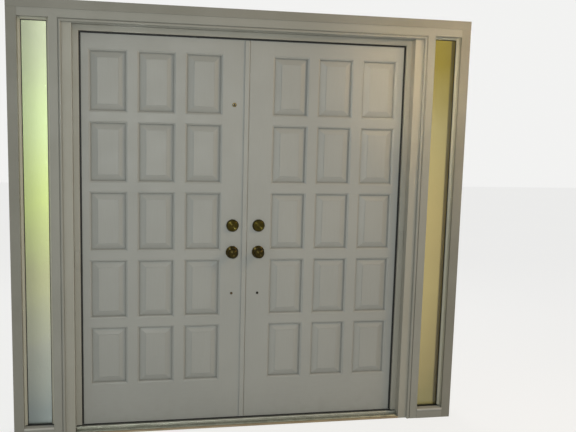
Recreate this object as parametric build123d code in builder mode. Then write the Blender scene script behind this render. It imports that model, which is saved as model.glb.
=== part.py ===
from build123d import *
import math
import os

os.makedirs("parts", exist_ok=True)

# Entrance double door: two outswinging stile-and-rail leaves in a rabbeted frame with a
# narrow sidelight at each side. X runs across the doors, the room is on the -Y side and the
# street on the +Y side, Z is up. The origin is on the floor line, midway between the jambs,
# in the plane of the leaves' room-side faces. Millimetres.

# Leaves
leaf_width = 838.2
leaf_height = 2019.3
leaf_thickness = 44.5
leaf_bottom = 12.7
edge_gap = 3.2
parting_gap = 3.8

# Strip that closes the joint between the leaves, carried by the left leaf
astragal_stem = 12.7
astragal_flange_width = 22.8
astragal_flange_thickness = 6.0
astragal_top_cutback = 21.5
astragal_bottom_cutback = 17.3

# Panel openings, measured at the middle of the moulded edge
panel_width = 177.5
panel_height = 294.6
muntin_width = 59.0
cross_rail_height = 55.0
lock_stile_width = 126.05
bottom_rail_height = 228.2
columns = 3
rows = 5
sticking_width = 10.0
sticking_quirk = 1.5
sticking_depth = 10.0
ovolo_flat_width = 6.5
ovolo_flat_depth = 2.5
groove_depth = 9.0
tongue_thickness = 12.0
panel_clearance = 0.3
panel_end_room = 1.0
field_inset_x = 39.0
field_inset_z = 36.0
field_setback = 4.0
field_step = 2.0

# Frame
frame_depth = 116.0
stop_cover_side = 14.2
stop_cover_head = 11.0
stop_width = 28.0
stop_depth = 22.0
stop_round = 2.5
weatherstrip_thickness = 7.3
weatherstrip_show = 8.5
weatherstrip_clearance = 0.5
jamb_face = 45.6
frame_top_above_leaf = 69.0
outer_jamb_thickness = 32.0
sidelight_width = 143.2
sidelight_head_drop = 32.0

# Hairline left where trim pieces are mitred or butted together
joint_gap = 0.2

# Room-side trim
casing_width = 57.2
casing_thickness = 15.9
casing_flat_thickness = 14.4
casing_bead = 15.0
casing_quirk_width = 2.0
casing_reveal = 3.2
outer_casing_width = 48.0
head_board_height = 42.6
head_board_thickness = 17.5

# Street-side trim
brickmould_width = 51.0
brickmould_thickness = 32.0
brickmould_reveal = 14.0
mull_cover_margin = 8.0
mull_cover_thickness = 12.0

# Sidelight sill, stool and glazing
sill_height = 42.0
sill_nose_height = 16.0
sill_nose_run = 30.0
sill_slope_start = 25.0
stool_thickness = 12.0
stool_overhang = 4.0
glass_thickness = 6.0
glass_setback = 32.1
glass_edge_room = 2.0
glazing_stop = 11.5
glazing_clearance = 0.3
gasket_thickness = 3.0
gasket_show = 3.5
sill_gasket_height = 16.0

# Threshold
tread_height = 14.0
tread_front = 62.0
tread_bevel = 4.0
threshold_stop_height = 21.7
threshold_stop_front = 22.0
saddle_height = 9.0
saddle_nose_run = 33.0
saddle_nose_height = 4.0
extrusion_wall = 3.0
bumper_height = 28.0
bumper_clearance = 0.6
strip_run = 10.0
strip_height = 9.0
stop_end_gap = 3.0

# Butt hinges
hinge_height = 101.6
hinge_plate_thickness = 3.0
hinge_plate_back = 10.0
hinge_pin_out = 7.0
knuckle_radius = 6.35
knuckle_count = 5
knuckle_gap = 0.3
pin_radius = 3.4
pin_clearance = 0.05
pin_head_radius = 5.2
pin_head_height = 2.5
gain_clearance = 0.3
hinge_from_top = 177.8
hinge_from_bottom = 279.4

# Locks
backset = 60.3
knob_height = 914.4
deadbolt_rise = 140.0
grip_bolt_drop = 220.0
peephole_height = 1675.3
cross_bore_radius = 27.0
edge_bore_radius = 12.7
rose_radius = 33.0
rose_thickness = 9.0
knob_radius = 27.0
knob_neck_radius = 11.0
knob_projection = 62.0
turning_clearance = 0.3
spindle_size = 8.0
spindle_reach = 34.0
collar_radius = 32.5
collar_face_radius = 27.5
collar_thickness = 15.0
plug_radius = 6.5
tail_radius = 2.5
keyway_width = 1.8
keyway_height = 8.0
keyway_depth = 4.0
front_height = 57.2
front_width = 25.4
front_thickness = 2.5
case_radius = 11.5
latch_width = 14.0
latch_height = 13.0
latch_throw = 11.5
latch_length = 44.0
deadbolt_width = 14.0
deadbolt_bar = 17.0
deadbolt_throw = 25.4
deadbolt_length = 42.0
sliding_clearance = 0.3
strike_thickness = 2.0
strike_height = 70.0
pocket_room = 1.5

# Street-side grips
grip_plate_width = 64.0
grip_plate_height = 118.0
grip_plate_thickness = 9.0
grip_radius = 8.5
grip_projection = 52.0
grip_bend = 24.0
grip_foot_radius = 21.0
thumb_width = 24.0
thumb_length = 46.0
thumb_thickness = 4.0
thumb_slot_room = 1.0
thumb_pin_radius = 2.5
through_bolt_radius = 3.0
through_bolt_head_radius = 6.5
through_bolt_head_height = 3.0
bolt_hole_clearance = 0.3

# Door viewer
viewer_radius = 6.8
viewer_flange_radius = 11.0
viewer_flange_thickness = 2.5
viewer_lens_radius = 4.5

# Flush bolts in the astragal
flush_rod_radius = 4.0
flush_rod_length = 150.0
flush_travel_up = 15.0
flush_travel_down = 12.0
flush_tab_height = 12.0
flush_tab_width = 4.4
flush_rest_recess = 0.3
flush_tab_inset = 0.6

# Low plates fixed on the side stops and painted over
contact_width = 26.0
contact_height = 91.0
contact_thickness = 4.0
contact_left_bottom = 851.0
contact_right_bottom = 941.5

# Worked-out places
centre_half = (astragal_stem + parting_gap) / 2
leaf_outer = centre_half + leaf_width
leaf_top = leaf_bottom + leaf_height
leaf_back = leaf_thickness
rabbet_half = leaf_outer + edge_gap
rabbet_top = leaf_top + edge_gap
stop_half = leaf_outer - stop_cover_side
stop_low = leaf_top - stop_cover_head
reveal_half = stop_half + stop_width
reveal_top = stop_low + stop_width
jamb_half = reveal_half + jamb_face
room_face = leaf_thickness - frame_depth
frame_top = leaf_top + frame_top_above_leaf
mullion_half = jamb_half + casing_width
light_half = mullion_half + sidelight_width
outer_half = light_half + outer_jamb_thickness
light_top = frame_top - sidelight_head_drop
casing_low = reveal_top + casing_reveal
casing_top = casing_low + casing_width
trim_half = light_half + outer_casing_width
trim_top = casing_top + head_board_height
casing_face = room_face - casing_thickness
flat_face = room_face - casing_flat_thickness
strip_back = -weatherstrip_clearance
stop_back = -weatherstrip_thickness
strip_root_half = stop_half + 15.5
strip_root_top = stop_low + 12.7
bore_x = centre_half + backset
knob_z = leaf_bottom + knob_height
deadbolt_z = knob_z + deadbolt_rise
grip_bolt_z = knob_z - grip_bolt_drop
viewer_z = leaf_bottom + peephole_height
stem_left = -centre_half
stem_right = -centre_half + astragal_stem
hinge_axis_x = leaf_outer + edge_gap / 2
hinge_axis_y = leaf_back + hinge_pin_out
hinge_levels = [
    leaf_bottom + hinge_from_bottom + hinge_height / 2,
    (leaf_bottom + hinge_from_bottom + leaf_top - hinge_from_top) / 2,
    leaf_top - hinge_from_top - hinge_height / 2,
]
glass_front = room_face + glass_setback
glass_rear = glass_front + glass_thickness
gasket_back = glass_front - glazing_clearance
gasket_front = gasket_back - gasket_thickness
room_stop_y = gasket_front - glazing_stop
street_stop_y = glass_rear + glazing_clearance
sash_mid_y = leaf_thickness / 2
LOW = (Align.MIN, Align.MIN, Align.MIN)


def block(x_span, y_span, z_span, mode=Mode.ADD):
    """A board between two corners, added to or cut from the part being built."""
    with Locations((x_span[0], y_span[0], z_span[0])):
        Box(
            x_span[1] - x_span[0],
            y_span[1] - y_span[0],
            z_span[1] - z_span[0],
            align=LOW,
            mode=mode,
        )


def mitre_side(inner, outer, low, top, face_y, depth):
    """Cut the top of a right-hand side piece to a mitre, a hairline below the head piece."""
    with BuildSketch(Plane.XZ.offset(-face_y)) as waste:
        with BuildLine():
            Polyline(
                (inner, low - joint_gap),
                (outer, top - joint_gap),
                (outer, top + joint_gap),
                (inner, top + joint_gap),
                close=True,
            )
        make_face()
    extrude(waste.sketch, amount=depth, mode=Mode.SUBTRACT)


def mitre_head(inner, outer, low, top, face_y, depth):
    """Cut both ends of a head piece to the mitres of its side pieces."""
    for side in (-1, 1):
        with BuildSketch(Plane.XZ.offset(-face_y)) as waste:
            with BuildLine():
                Polyline(
                    (side * inner, low),
                    (side * outer, top),
                    (side * outer, low),
                    close=True,
                )
            make_face()
        extrude(waste.sketch, amount=depth, mode=Mode.SUBTRACT)


# Jambs: rabbeted for the leaf on the street side, with gains for the hinges
with BuildPart() as hinge_jamb_right:
    with BuildSketch(Plane.XY) as jamb_section:
        with BuildLine():
            Polyline(
                (reveal_half, room_face),
                (jamb_half, room_face),
                (jamb_half, leaf_back),
                (rabbet_half, leaf_back),
                (rabbet_half, 0),
                (reveal_half, 0),
                close=True,
            )
        make_face()
    extrude(amount=frame_top)
    for level in hinge_levels:
        block(
            (rabbet_half, rabbet_half + hinge_plate_thickness),
            (hinge_plate_back - gain_clearance, leaf_back),
            (
                level - hinge_height / 2 - gain_clearance,
                level + hinge_height / 2 + gain_clearance,
            ),
            mode=Mode.SUBTRACT,
        )

with BuildPart() as hinge_jamb_left:
    mirror(hinge_jamb_right.part, about=Plane.YZ)

with BuildPart() as head_jamb:
    block((-reveal_half, reveal_half), (room_face, 0), (reveal_top, frame_top))
    block((-rabbet_half, rabbet_half), (0, leaf_back), (rabbet_top, frame_top))
    with BuildSketch(Plane.XY.offset(rabbet_top)) as head_bolt_hole:
        with Locations(((stem_left + stem_right) / 2, sash_mid_y)):
            Circle(flush_rod_radius + sliding_clearance)
    extrude(
        amount=flush_travel_up - edge_gap + pocket_room,
        mode=Mode.SUBTRACT,
    )

with BuildPart() as mullions:
    block((jamb_half, mullion_half), (room_face, leaf_back), (0, frame_top))
    mirror(about=Plane.YZ)

with BuildPart() as outer_jambs:
    block((light_half, outer_half), (room_face, leaf_back), (0, frame_top))
    mirror(about=Plane.YZ)

with BuildPart() as sidelight_heads:
    block((mullion_half, light_half), (room_face, leaf_back), (light_top, frame_top))
    mirror(about=Plane.YZ)

# Sidelight sill: level under the glass, weathered towards the street
with BuildPart() as sidelight_sills:
    with BuildSketch(Plane.YZ.offset(mullion_half)) as sill_section:
        with BuildLine():
            Polyline(
                (room_face, 0),
                (leaf_back + sill_nose_run, 0),
                (leaf_back + sill_nose_run, sill_nose_height),
                (glass_rear + sill_slope_start, sill_height),
                (room_face, sill_height),
                close=True,
            )
        make_face()
    extrude(amount=sidelight_width)
    mirror(about=Plane.YZ)

with BuildPart() as sidelight_stools:
    with BuildSketch(Plane.YZ.offset(mullion_half)) as stool_section:
        with Locations((casing_face - stool_overhang, sill_height)):
            Rectangle(
                room_stop_y - casing_face + stool_overhang,
                stool_thickness,
                align=(Align.MIN, Align.MIN),
            )
        fillet(
            stool_section.vertices().group_by(Axis.X)[0],
            radius=stool_thickness * 0.42,
        )
    extrude(amount=sidelight_width)
    mirror(about=Plane.YZ)

# Flat boards round the sidelights: an apron below each stool, a strip over each light
with BuildPart() as sidelight_trims:
    block((mullion_half, light_half), (casing_face, room_face), (0, sill_height))
    block((mullion_half, light_half), (flat_face, room_face), (light_top, casing_top))
    mirror(about=Plane.YZ)

glass_low = sill_height + glazing_clearance
with BuildPart() as sidelight_glass_right:
    block(
        (mullion_half + glass_edge_room, light_half - glass_edge_room),
        (glass_front, glass_rear),
        (glass_low, light_top - glass_edge_room),
    )

with BuildPart() as sidelight_glass_left:
    mirror(sidelight_glass_right.part, about=Plane.YZ)

# Glazing stops: four sticks behind the glass and three in front, butted at the corners, each
# with its show edge bevelled
stop_bevel = glazing_stop * 0.45
stop_foot = sill_height + sill_gasket_height
stick_ends = (mullion_half + glazing_stop + joint_gap, light_half - glazing_stop - joint_gap)
with BuildPart() as glazing_stops:
    for low_y, foot in ((room_stop_y, stop_foot), (street_stop_y, sill_height)):
        stick_depth = (low_y, low_y + glazing_stop)
        block((mullion_half, mullion_half + glazing_stop), stick_depth, (foot, light_top))
        block((light_half - glazing_stop, light_half), stick_depth, (foot, light_top))
        block(stick_ends, stick_depth, (light_top - glazing_stop, light_top))
    block(
        stick_ends,
        (street_stop_y, street_stop_y + glazing_stop),
        (sill_height, sill_height + glazing_stop),
    )
    room_edges = glazing_stops.edges().filter_by(lambda e: abs(e.center().Y - room_stop_y) < 0.01)
    upright_edges = room_edges.filter_by(Axis.Z).filter_by(
        lambda e: abs(e.center().X - mullion_half - glazing_stop) < 0.01
        or abs(e.center().X - light_half + glazing_stop) < 0.01
    )
    head_edges = room_edges.filter_by(Axis.X).filter_by(
        lambda e: abs(e.center().Z - light_top + glazing_stop) < 0.01
    )
    chamfer(upright_edges + head_edges, length=stop_bevel)
    mirror(about=Plane.YZ)

# Gaskets between the glass and the room-side stops, showing past them, on a deeper one at the sill
gasket_reach = glazing_stop + gasket_show
with BuildPart() as glazing_gaskets:
    gasket_depth = (gasket_front, gasket_back)
    block((mullion_half, mullion_half + gasket_reach), gasket_depth, (stop_foot, light_top))
    block((light_half - gasket_reach, light_half), gasket_depth, (stop_foot, light_top))
    block(
        (mullion_half + gasket_reach + joint_gap, light_half - gasket_reach - joint_gap),
        gasket_depth,
        (light_top - gasket_reach, light_top),
    )
    block(
        (mullion_half, light_half),
        (room_stop_y, gasket_back),
        (sill_height, stop_foot - joint_gap),
    )
    mirror(about=Plane.YZ)

# Door stops: a lip in front of the leaf and a rebate behind it for the weatherstrip
side_stop_foot = bumper_height + stop_end_gap
with BuildPart() as head_stop:
    with BuildSketch(Plane.YZ.offset(-reveal_half)) as head_stop_section:
        with BuildLine():
            Polyline(
                (-stop_depth, stop_low),
                (-stop_depth, reveal_top),
                (0, reveal_top),
                (0, strip_root_top),
                (stop_back, strip_root_top),
                (stop_back, stop_low),
                close=True,
            )
        make_face()
        fillet(
            head_stop_section.vertices().sort_by_distance((-stop_depth, stop_low))[0],
            radius=stop_round,
        )
    extrude(amount=2 * reveal_half)
    mitre_head(stop_half, reveal_half, stop_low, reveal_top, 0, stop_depth)

with BuildPart() as door_stops:
    with BuildSketch(Plane.XY.offset(side_stop_foot)) as side_stop_section:
        with BuildLine():
            Polyline(
                (stop_half, -stop_depth),
                (reveal_half, -stop_depth),
                (reveal_half, 0),
                (strip_root_half, 0),
                (strip_root_half, stop_back),
                (stop_half, stop_back),
                close=True,
            )
        make_face()
        fillet(
            side_stop_section.vertices().sort_by_distance((stop_half, -stop_depth))[0],
            radius=stop_round,
        )
    extrude(amount=reveal_top - side_stop_foot)
    mitre_side(stop_half, reveal_half, stop_low, reveal_top, 0, stop_depth)
    mirror(about=Plane.YZ)
    add(head_stop.part)

# Weatherstrip: a bulb that shows past the stop all round
bulb_half = stop_half - weatherstrip_show
bulb_low = stop_low - weatherstrip_show
bulb_round = 2.4
with BuildPart() as weatherstrips:
    with BuildSketch(Plane.XY.offset(side_stop_foot)) as side_bulb_section:
        with BuildLine():
            Polyline(
                (bulb_half, stop_back),
                (strip_root_half, stop_back),
                (strip_root_half, strip_back),
                (bulb_half, strip_back),
                close=True,
            )
        make_face()
        fillet(side_bulb_section.vertices().group_by(Axis.X)[0], radius=bulb_round)
    extrude(amount=bulb_low - joint_gap - side_stop_foot)
    mirror(about=Plane.YZ)
    with BuildSketch(Plane.YZ.offset(-strip_root_half)) as head_bulb_section:
        with BuildLine():
            Polyline(
                (stop_back, bulb_low),
                (strip_back, bulb_low),
                (strip_back, strip_root_top),
                (stop_back, strip_root_top),
                close=True,
            )
        make_face()
        fillet(head_bulb_section.vertices().group_by(Axis.Y)[0], radius=bulb_round)
    extrude(amount=2 * strip_root_half)

# Threshold: aluminium extrusion with a tread, a stop for the bumper and a low saddle. A web
# stands in the middle of each chamber below
with BuildPart() as threshold:
    with BuildSketch(Plane.YZ.offset(-reveal_half)) as threshold_section:
        with BuildLine():
            Polyline(
                (-tread_front, 0),
                (-tread_front, tread_height - tread_bevel),
                (-tread_front + tread_bevel, tread_height),
                (-threshold_stop_front, tread_height),
                (-threshold_stop_front, threshold_stop_height),
                (stop_back, threshold_stop_height),
                (stop_back, saddle_height),
                (leaf_back, saddle_height),
                (leaf_back + saddle_nose_run, saddle_nose_height),
                (leaf_back + saddle_nose_run, 0),
                close=True,
            )
        make_face()
        fillet(
            threshold_section.vertices().sort_by_distance(
                (-threshold_stop_front, threshold_stop_height)
            )[0],
            radius=extrusion_wall,
        )
    extrude(amount=2 * reveal_half)
    for side in (-1, 1):
        block(
            tuple(sorted((side * rabbet_half, side * reveal_half))),
            (0, leaf_back + saddle_nose_run),
            (0, saddle_height),
            mode=Mode.SUBTRACT,
        )
    for front, back, half_run, ceiling in (
        (-tread_front + tread_bevel, -threshold_stop_front, reveal_half, tread_height),
        (stop_back, leaf_back, rabbet_half, saddle_height),
    ):
        chamber = (back - front - 3 * extrusion_wall) / 2
        for start in (front + extrusion_wall, back - extrusion_wall - chamber):
            block(
                (-half_run, half_run),
                (start, start + chamber),
                (0, ceiling - extrusion_wall),
                mode=Mode.SUBTRACT,
            )
    with BuildSketch(Plane.XY) as sill_bolt_hole:
        with Locations(((stem_left + stem_right) / 2, sash_mid_y)):
            Circle(flush_rod_radius + sliding_clearance)
    extrude(amount=saddle_height, mode=Mode.SUBTRACT)

with BuildPart() as threshold_bumper:
    with BuildSketch(Plane.YZ.offset(-reveal_half)) as bumper_section:
        with BuildLine():
            Polyline(
                (stop_back, saddle_height),
                (-bumper_clearance, saddle_height),
                (-bumper_clearance, bumper_height),
                (stop_back, bumper_height),
                close=True,
            )
        make_face()
        fillet(bumper_section.vertices().group_by(Axis.Y)[-1], radius=bulb_round)
    extrude(amount=2 * reveal_half)

with BuildPart() as threshold_strip:
    with BuildSketch(Plane.YZ.offset(-reveal_half)) as strip_section:
        with BuildLine():
            Polyline(
                (-tread_front, 0),
                (-tread_front, strip_height),
                (-tread_front - strip_run * 0.35, strip_height),
            )
            RadiusArc(
                (-tread_front - strip_run * 0.35, strip_height),
                (-tread_front - strip_run, 0),
                -strip_height * 1.3,
            )
            Line((-tread_front - strip_run, 0), (-tread_front, 0))
        make_face()
    extrude(amount=2 * reveal_half)


def casing_points(inner, outer):
    """Corners of the casing section from its bead edge to its outer edge."""
    bead_radius = casing_bead / 2
    quirk_floor = casing_face + bead_radius
    return [
        (inner, room_face),
        (inner, quirk_floor),
        (inner + bead_radius, casing_face),
        (inner + casing_bead, quirk_floor),
        (inner + casing_bead + casing_quirk_width, quirk_floor),
        (inner + casing_bead + casing_quirk_width, flat_face),
        (outer, flat_face),
        (outer, room_face),
    ]


# Door casing: a beaded board, mitred at both top corners
with BuildPart() as door_casing_right:
    with BuildSketch(Plane.XY) as casing_section:
        corners = casing_points(jamb_half, mullion_half)
        with BuildLine():
            Line(corners[0], corners[1])
            ThreePointArc(corners[1], corners[2], corners[3])
            Polyline(*corners[3:], corners[0])
        make_face()
    extrude(amount=casing_top)
    mitre_side(
        jamb_half, mullion_half, casing_low, casing_top, room_face, casing_thickness + joint_gap
    )

with BuildPart() as door_casing_left:
    mirror(door_casing_right.part, about=Plane.YZ)

with BuildPart() as door_casing_head:
    with BuildSketch(Plane.YZ.offset(-mullion_half)) as head_casing_section:
        corners = [(y, z) for z, y in casing_points(casing_low, casing_top)]
        with BuildLine():
            Line(corners[0], corners[1])
            ThreePointArc(corners[1], corners[2], corners[3])
            Polyline(*corners[3:], corners[0])
        make_face()
    extrude(amount=2 * mullion_half)
    mitre_head(
        jamb_half, mullion_half, casing_low, casing_top, room_face, casing_thickness + joint_gap
    )

# Outer casing: two legs under a full-width head board
with BuildPart() as outer_casing:
    block((light_half, trim_half), (casing_face, room_face), (0, casing_top - joint_gap))
    mirror(about=Plane.YZ)
    block(
        (-trim_half, trim_half),
        (room_face - head_board_thickness, room_face),
        (casing_top, trim_top),
    )

# Street-side mouldings
mould_inner = light_half + brickmould_reveal
mould_outer = mould_inner + brickmould_width
mould_low = light_top + brickmould_reveal
mould_top = mould_low + brickmould_width
mould_face = leaf_back + brickmould_thickness


def mould_points(inner, outer):
    """Corners of the brickmould section, thin at the opening and thick outside."""
    run = outer - inner
    return [
        (inner, leaf_back),
        (outer, leaf_back),
        (outer, mould_face),
        (outer - run * 0.3, mould_face),
        (outer - run * 0.42, mould_face - brickmould_thickness * 0.22),
        (inner + run * 0.16, mould_face - brickmould_thickness * 0.42),
        (inner + run * 0.1, mould_face - brickmould_thickness * 0.3),
        (inner, mould_face - brickmould_thickness * 0.3),
    ]


with BuildPart() as brickmould_head:
    with BuildSketch(Plane.YZ.offset(-mould_outer)) as mould_head_section:
        with BuildLine():
            Polyline(*[(y, z) for z, y in mould_points(mould_low, mould_top)], close=True)
        make_face()
    extrude(amount=2 * mould_outer)
    mitre_head(mould_inner, mould_outer, mould_low, mould_top, leaf_back, -brickmould_thickness)

with BuildPart() as brickmould:
    with BuildSketch(Plane.XY) as mould_section:
        with BuildLine():
            Polyline(*mould_points(mould_inner, mould_outer), close=True)
        make_face()
    extrude(amount=mould_top)
    mitre_side(mould_inner, mould_outer, mould_low, mould_top, leaf_back, -brickmould_thickness)
    mirror(about=Plane.YZ)
    add(brickmould_head.part)

with BuildPart() as mull_covers:
    block(
        (reveal_half + mull_cover_margin, mullion_half - mull_cover_margin),
        (leaf_back, leaf_back + mull_cover_thickness),
        (0, mould_low),
    )
    mirror(about=Plane.YZ)

contact_mid = stop_half + stop_width / 2
with BuildPart() as contact_plates:
    for side, low in ((-1, contact_left_bottom), (1, contact_right_bottom)):
        with Locations(
            (side * contact_mid, -stop_depth - contact_thickness / 2, low + contact_height / 2)
        ):
            Box(contact_width, contact_thickness, contact_height)
    fillet(
        contact_plates.edges().filter_by(lambda e: e.center().Y < -stop_depth - contact_thickness + 0.01),
        radius=contact_thickness * 0.35,
    )

# Leaf frame with all panel openings, used to shape every member of the right leaf
grid_x = centre_half + lock_stile_width + (columns * (panel_width + muntin_width) - muntin_width) / 2
grid_z = (
    leaf_bottom
    + bottom_rail_height
    + (rows * (panel_height + cross_rail_height) - cross_rail_height) / 2
)
pitch_x = panel_width + muntin_width
pitch_z = panel_height + cross_rail_height
clear_width = panel_width - sticking_width
clear_height = panel_height - sticking_width
face_width = panel_width + sticking_width
face_height = panel_height + sticking_width
room_plane = Plane(origin=(grid_x, 0, grid_z), x_dir=(1, 0, 0), z_dir=(0, 1, 0))
street_plane = Plane(origin=(grid_x, leaf_back, grid_z), x_dir=(1, 0, 0), z_dir=(0, -1, 0))
groove_thickness = tongue_thickness + 2 * panel_clearance
steep_width = sticking_width - ovolo_flat_width
steep_depth = sticking_depth - sticking_quirk - ovolo_flat_depth

with BuildPart() as leaf_grid:
    block((centre_half, leaf_outer), (0, leaf_back), (leaf_bottom, leaf_top))
    with BuildSketch(room_plane) as clear_openings:
        with GridLocations(pitch_x, pitch_z, columns, rows):
            Rectangle(clear_width, clear_height)
    extrude(amount=leaf_thickness, mode=Mode.SUBTRACT)
    with BuildSketch(room_plane.offset((leaf_thickness - groove_thickness) / 2)) as grooves:
        with GridLocations(pitch_x, pitch_z, columns, rows):
            Rectangle(clear_width + 2 * groove_depth, clear_height + 2 * groove_depth)
    extrude(amount=groove_thickness, mode=Mode.SUBTRACT)
    for face_plane in (room_plane, street_plane):
        with BuildSketch(face_plane) as quirks:
            with GridLocations(pitch_x, pitch_z, columns, rows):
                Rectangle(face_width, face_height)
        extrude(amount=sticking_quirk, mode=Mode.SUBTRACT)
        with BuildSketch(face_plane.offset(sticking_quirk)) as ovolo_flats:
            with GridLocations(pitch_x, pitch_z, columns, rows):
                Rectangle(face_width, face_height)
        extrude(
            amount=ovolo_flat_depth,
            taper=math.degrees(math.atan2(ovolo_flat_width, ovolo_flat_depth)),
            mode=Mode.SUBTRACT,
        )
        with BuildSketch(face_plane.offset(sticking_quirk + ovolo_flat_depth)) as ovolo_steeps:
            with GridLocations(pitch_x, pitch_z, columns, rows):
                Rectangle(clear_width + 2 * steep_width, clear_height + 2 * steep_width)
        extrude(
            amount=steep_depth,
            taper=math.degrees(math.atan2(steep_width, steep_depth)),
            mode=Mode.SUBTRACT,
        )

lock_stile_edge = centre_half + lock_stile_width + sticking_width / 2
hinge_stile_edge = lock_stile_edge + columns * pitch_x - muntin_width - sticking_width
bottom_rail_edge = leaf_bottom + bottom_rail_height + sticking_width / 2

with BuildPart() as right_hinge_stile:
    add(leaf_grid.part)
    block(
        (hinge_stile_edge, leaf_outer),
        (0, leaf_back),
        (leaf_bottom, leaf_top),
        mode=Mode.INTERSECT,
    )
    for level in hinge_levels:
        block(
            (leaf_outer - hinge_plate_thickness, leaf_outer),
            (hinge_plate_back - gain_clearance, leaf_back),
            (
                level - hinge_height / 2 - gain_clearance,
                level + hinge_height / 2 + gain_clearance,
            ),
            mode=Mode.SUBTRACT,
        )

with BuildPart() as left_hinge_stile:
    mirror(right_hinge_stile.part, about=Plane.YZ)

# Lock stile before boring, the same on both leaves
with BuildPart() as plain_lock_stile:
    add(leaf_grid.part)
    block(
        (centre_half, lock_stile_edge),
        (0, leaf_back),
        (leaf_bottom, leaf_top),
        mode=Mode.INTERSECT,
    )
    with BuildSketch(Plane.XZ) as grip_bolt_holes:
        with Locations((bore_x, grip_bolt_z)):
            Circle(through_bolt_radius + bolt_hole_clearance)
    extrude(amount=-leaf_thickness, mode=Mode.SUBTRACT)

with BuildPart() as right_lock_stile:
    add(plain_lock_stile.part)
    with BuildSketch(Plane.XZ) as cross_bores:
        with Locations((bore_x, knob_z), (bore_x, deadbolt_z)):
            Circle(cross_bore_radius)
    extrude(amount=-leaf_thickness, mode=Mode.SUBTRACT)
    with BuildSketch(Plane.YZ.offset(centre_half)) as edge_bores:
        with Locations((sash_mid_y, knob_z), (sash_mid_y, deadbolt_z)):
            Circle(edge_bore_radius)
    extrude(amount=backset, mode=Mode.SUBTRACT)
    with BuildSketch(Plane.YZ.offset(centre_half)) as front_recesses:
        with Locations((sash_mid_y, knob_z), (sash_mid_y, deadbolt_z)):
            RectangleRounded(
                front_width + 2 * gain_clearance,
                front_height + 2 * gain_clearance,
                front_width * 0.2,
            )
    extrude(amount=front_thickness, mode=Mode.SUBTRACT)

deadbolt_pocket = deadbolt_throw - astragal_stem - parting_gap + pocket_room
with BuildPart() as left_lock_stile:
    mirror(plain_lock_stile.part, about=Plane.YZ)
    with BuildSketch(Plane.XZ) as viewer_hole:
        with Locations((-bore_x, viewer_z)):
            Circle(viewer_radius)
    extrude(amount=-leaf_thickness, mode=Mode.SUBTRACT)
    with BuildSketch(Plane.YZ.offset(stem_left)) as deadbolt_socket:
        with Locations((sash_mid_y, deadbolt_z)):
            Rectangle(
                deadbolt_width + 2 * pocket_room,
                deadbolt_bar + 2 * pocket_room,
            )
    extrude(amount=-deadbolt_pocket, mode=Mode.SUBTRACT)

with BuildPart() as right_rails:
    add(leaf_grid.part)
    block(
        (lock_stile_edge, hinge_stile_edge),
        (0, leaf_back),
        (leaf_bottom, leaf_top),
        mode=Mode.INTERSECT,
    )
    for row in range(rows):
        opening_low = bottom_rail_edge + row * pitch_z
        block(
            (lock_stile_edge, hinge_stile_edge),
            (0, leaf_back),
            (opening_low, opening_low + clear_height),
            mode=Mode.SUBTRACT,
        )

with BuildPart() as left_rails:
    mirror(right_rails.part, about=Plane.YZ)

with BuildPart() as right_muntins:
    add(leaf_grid.part)
    with BuildSketch(room_plane) as muntin_places:
        with GridLocations(pitch_x, pitch_z, columns - 1, rows):
            Rectangle(muntin_width + sticking_width, clear_height)
    extrude(amount=leaf_thickness, mode=Mode.INTERSECT)

with BuildPart() as left_muntins:
    mirror(right_muntins.part, about=Plane.YZ)

# Raised panels: a tongue all round, a bevelled shoulder and a raised field on each face
tongue_reach = groove_depth - panel_end_room
tongue_start = (leaf_thickness - tongue_thickness) / 2
shoulder_depth = tongue_start - field_setback - field_step
shoulder_width = clear_width - 2 * panel_clearance
shoulder_height = clear_height - 2 * panel_clearance
field_width = panel_width - 2 * field_inset_x
field_height = panel_height - 2 * field_inset_z
bevel_run = 2.0
with BuildPart() as right_panels:
    with BuildSketch(room_plane.offset(tongue_start)) as tongues:
        with GridLocations(pitch_x, pitch_z, columns, rows):
            Rectangle(clear_width + 2 * tongue_reach, clear_height + 2 * tongue_reach)
    extrude(amount=tongue_thickness)
    for face_plane in (room_plane, street_plane):
        for centre in GridLocations(pitch_x, pitch_z, columns, rows):
            with BuildSketch(face_plane.offset(tongue_start)) as shoulder:
                with Locations(centre.position):
                    Rectangle(shoulder_width, shoulder_height)
            with BuildSketch(face_plane.offset(tongue_start - shoulder_depth)) as shoulder_top:
                with Locations(centre.position):
                    Rectangle(field_width + 2 * bevel_run, field_height + 2 * bevel_run)
            loft()
        with BuildSketch(face_plane.offset(field_setback + field_step)) as fields:
            with GridLocations(pitch_x, pitch_z, columns, rows):
                Rectangle(field_width, field_height)
        extrude(amount=-field_step)

with BuildPart() as left_panels:
    mirror(right_panels.part, about=Plane.YZ)

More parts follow.
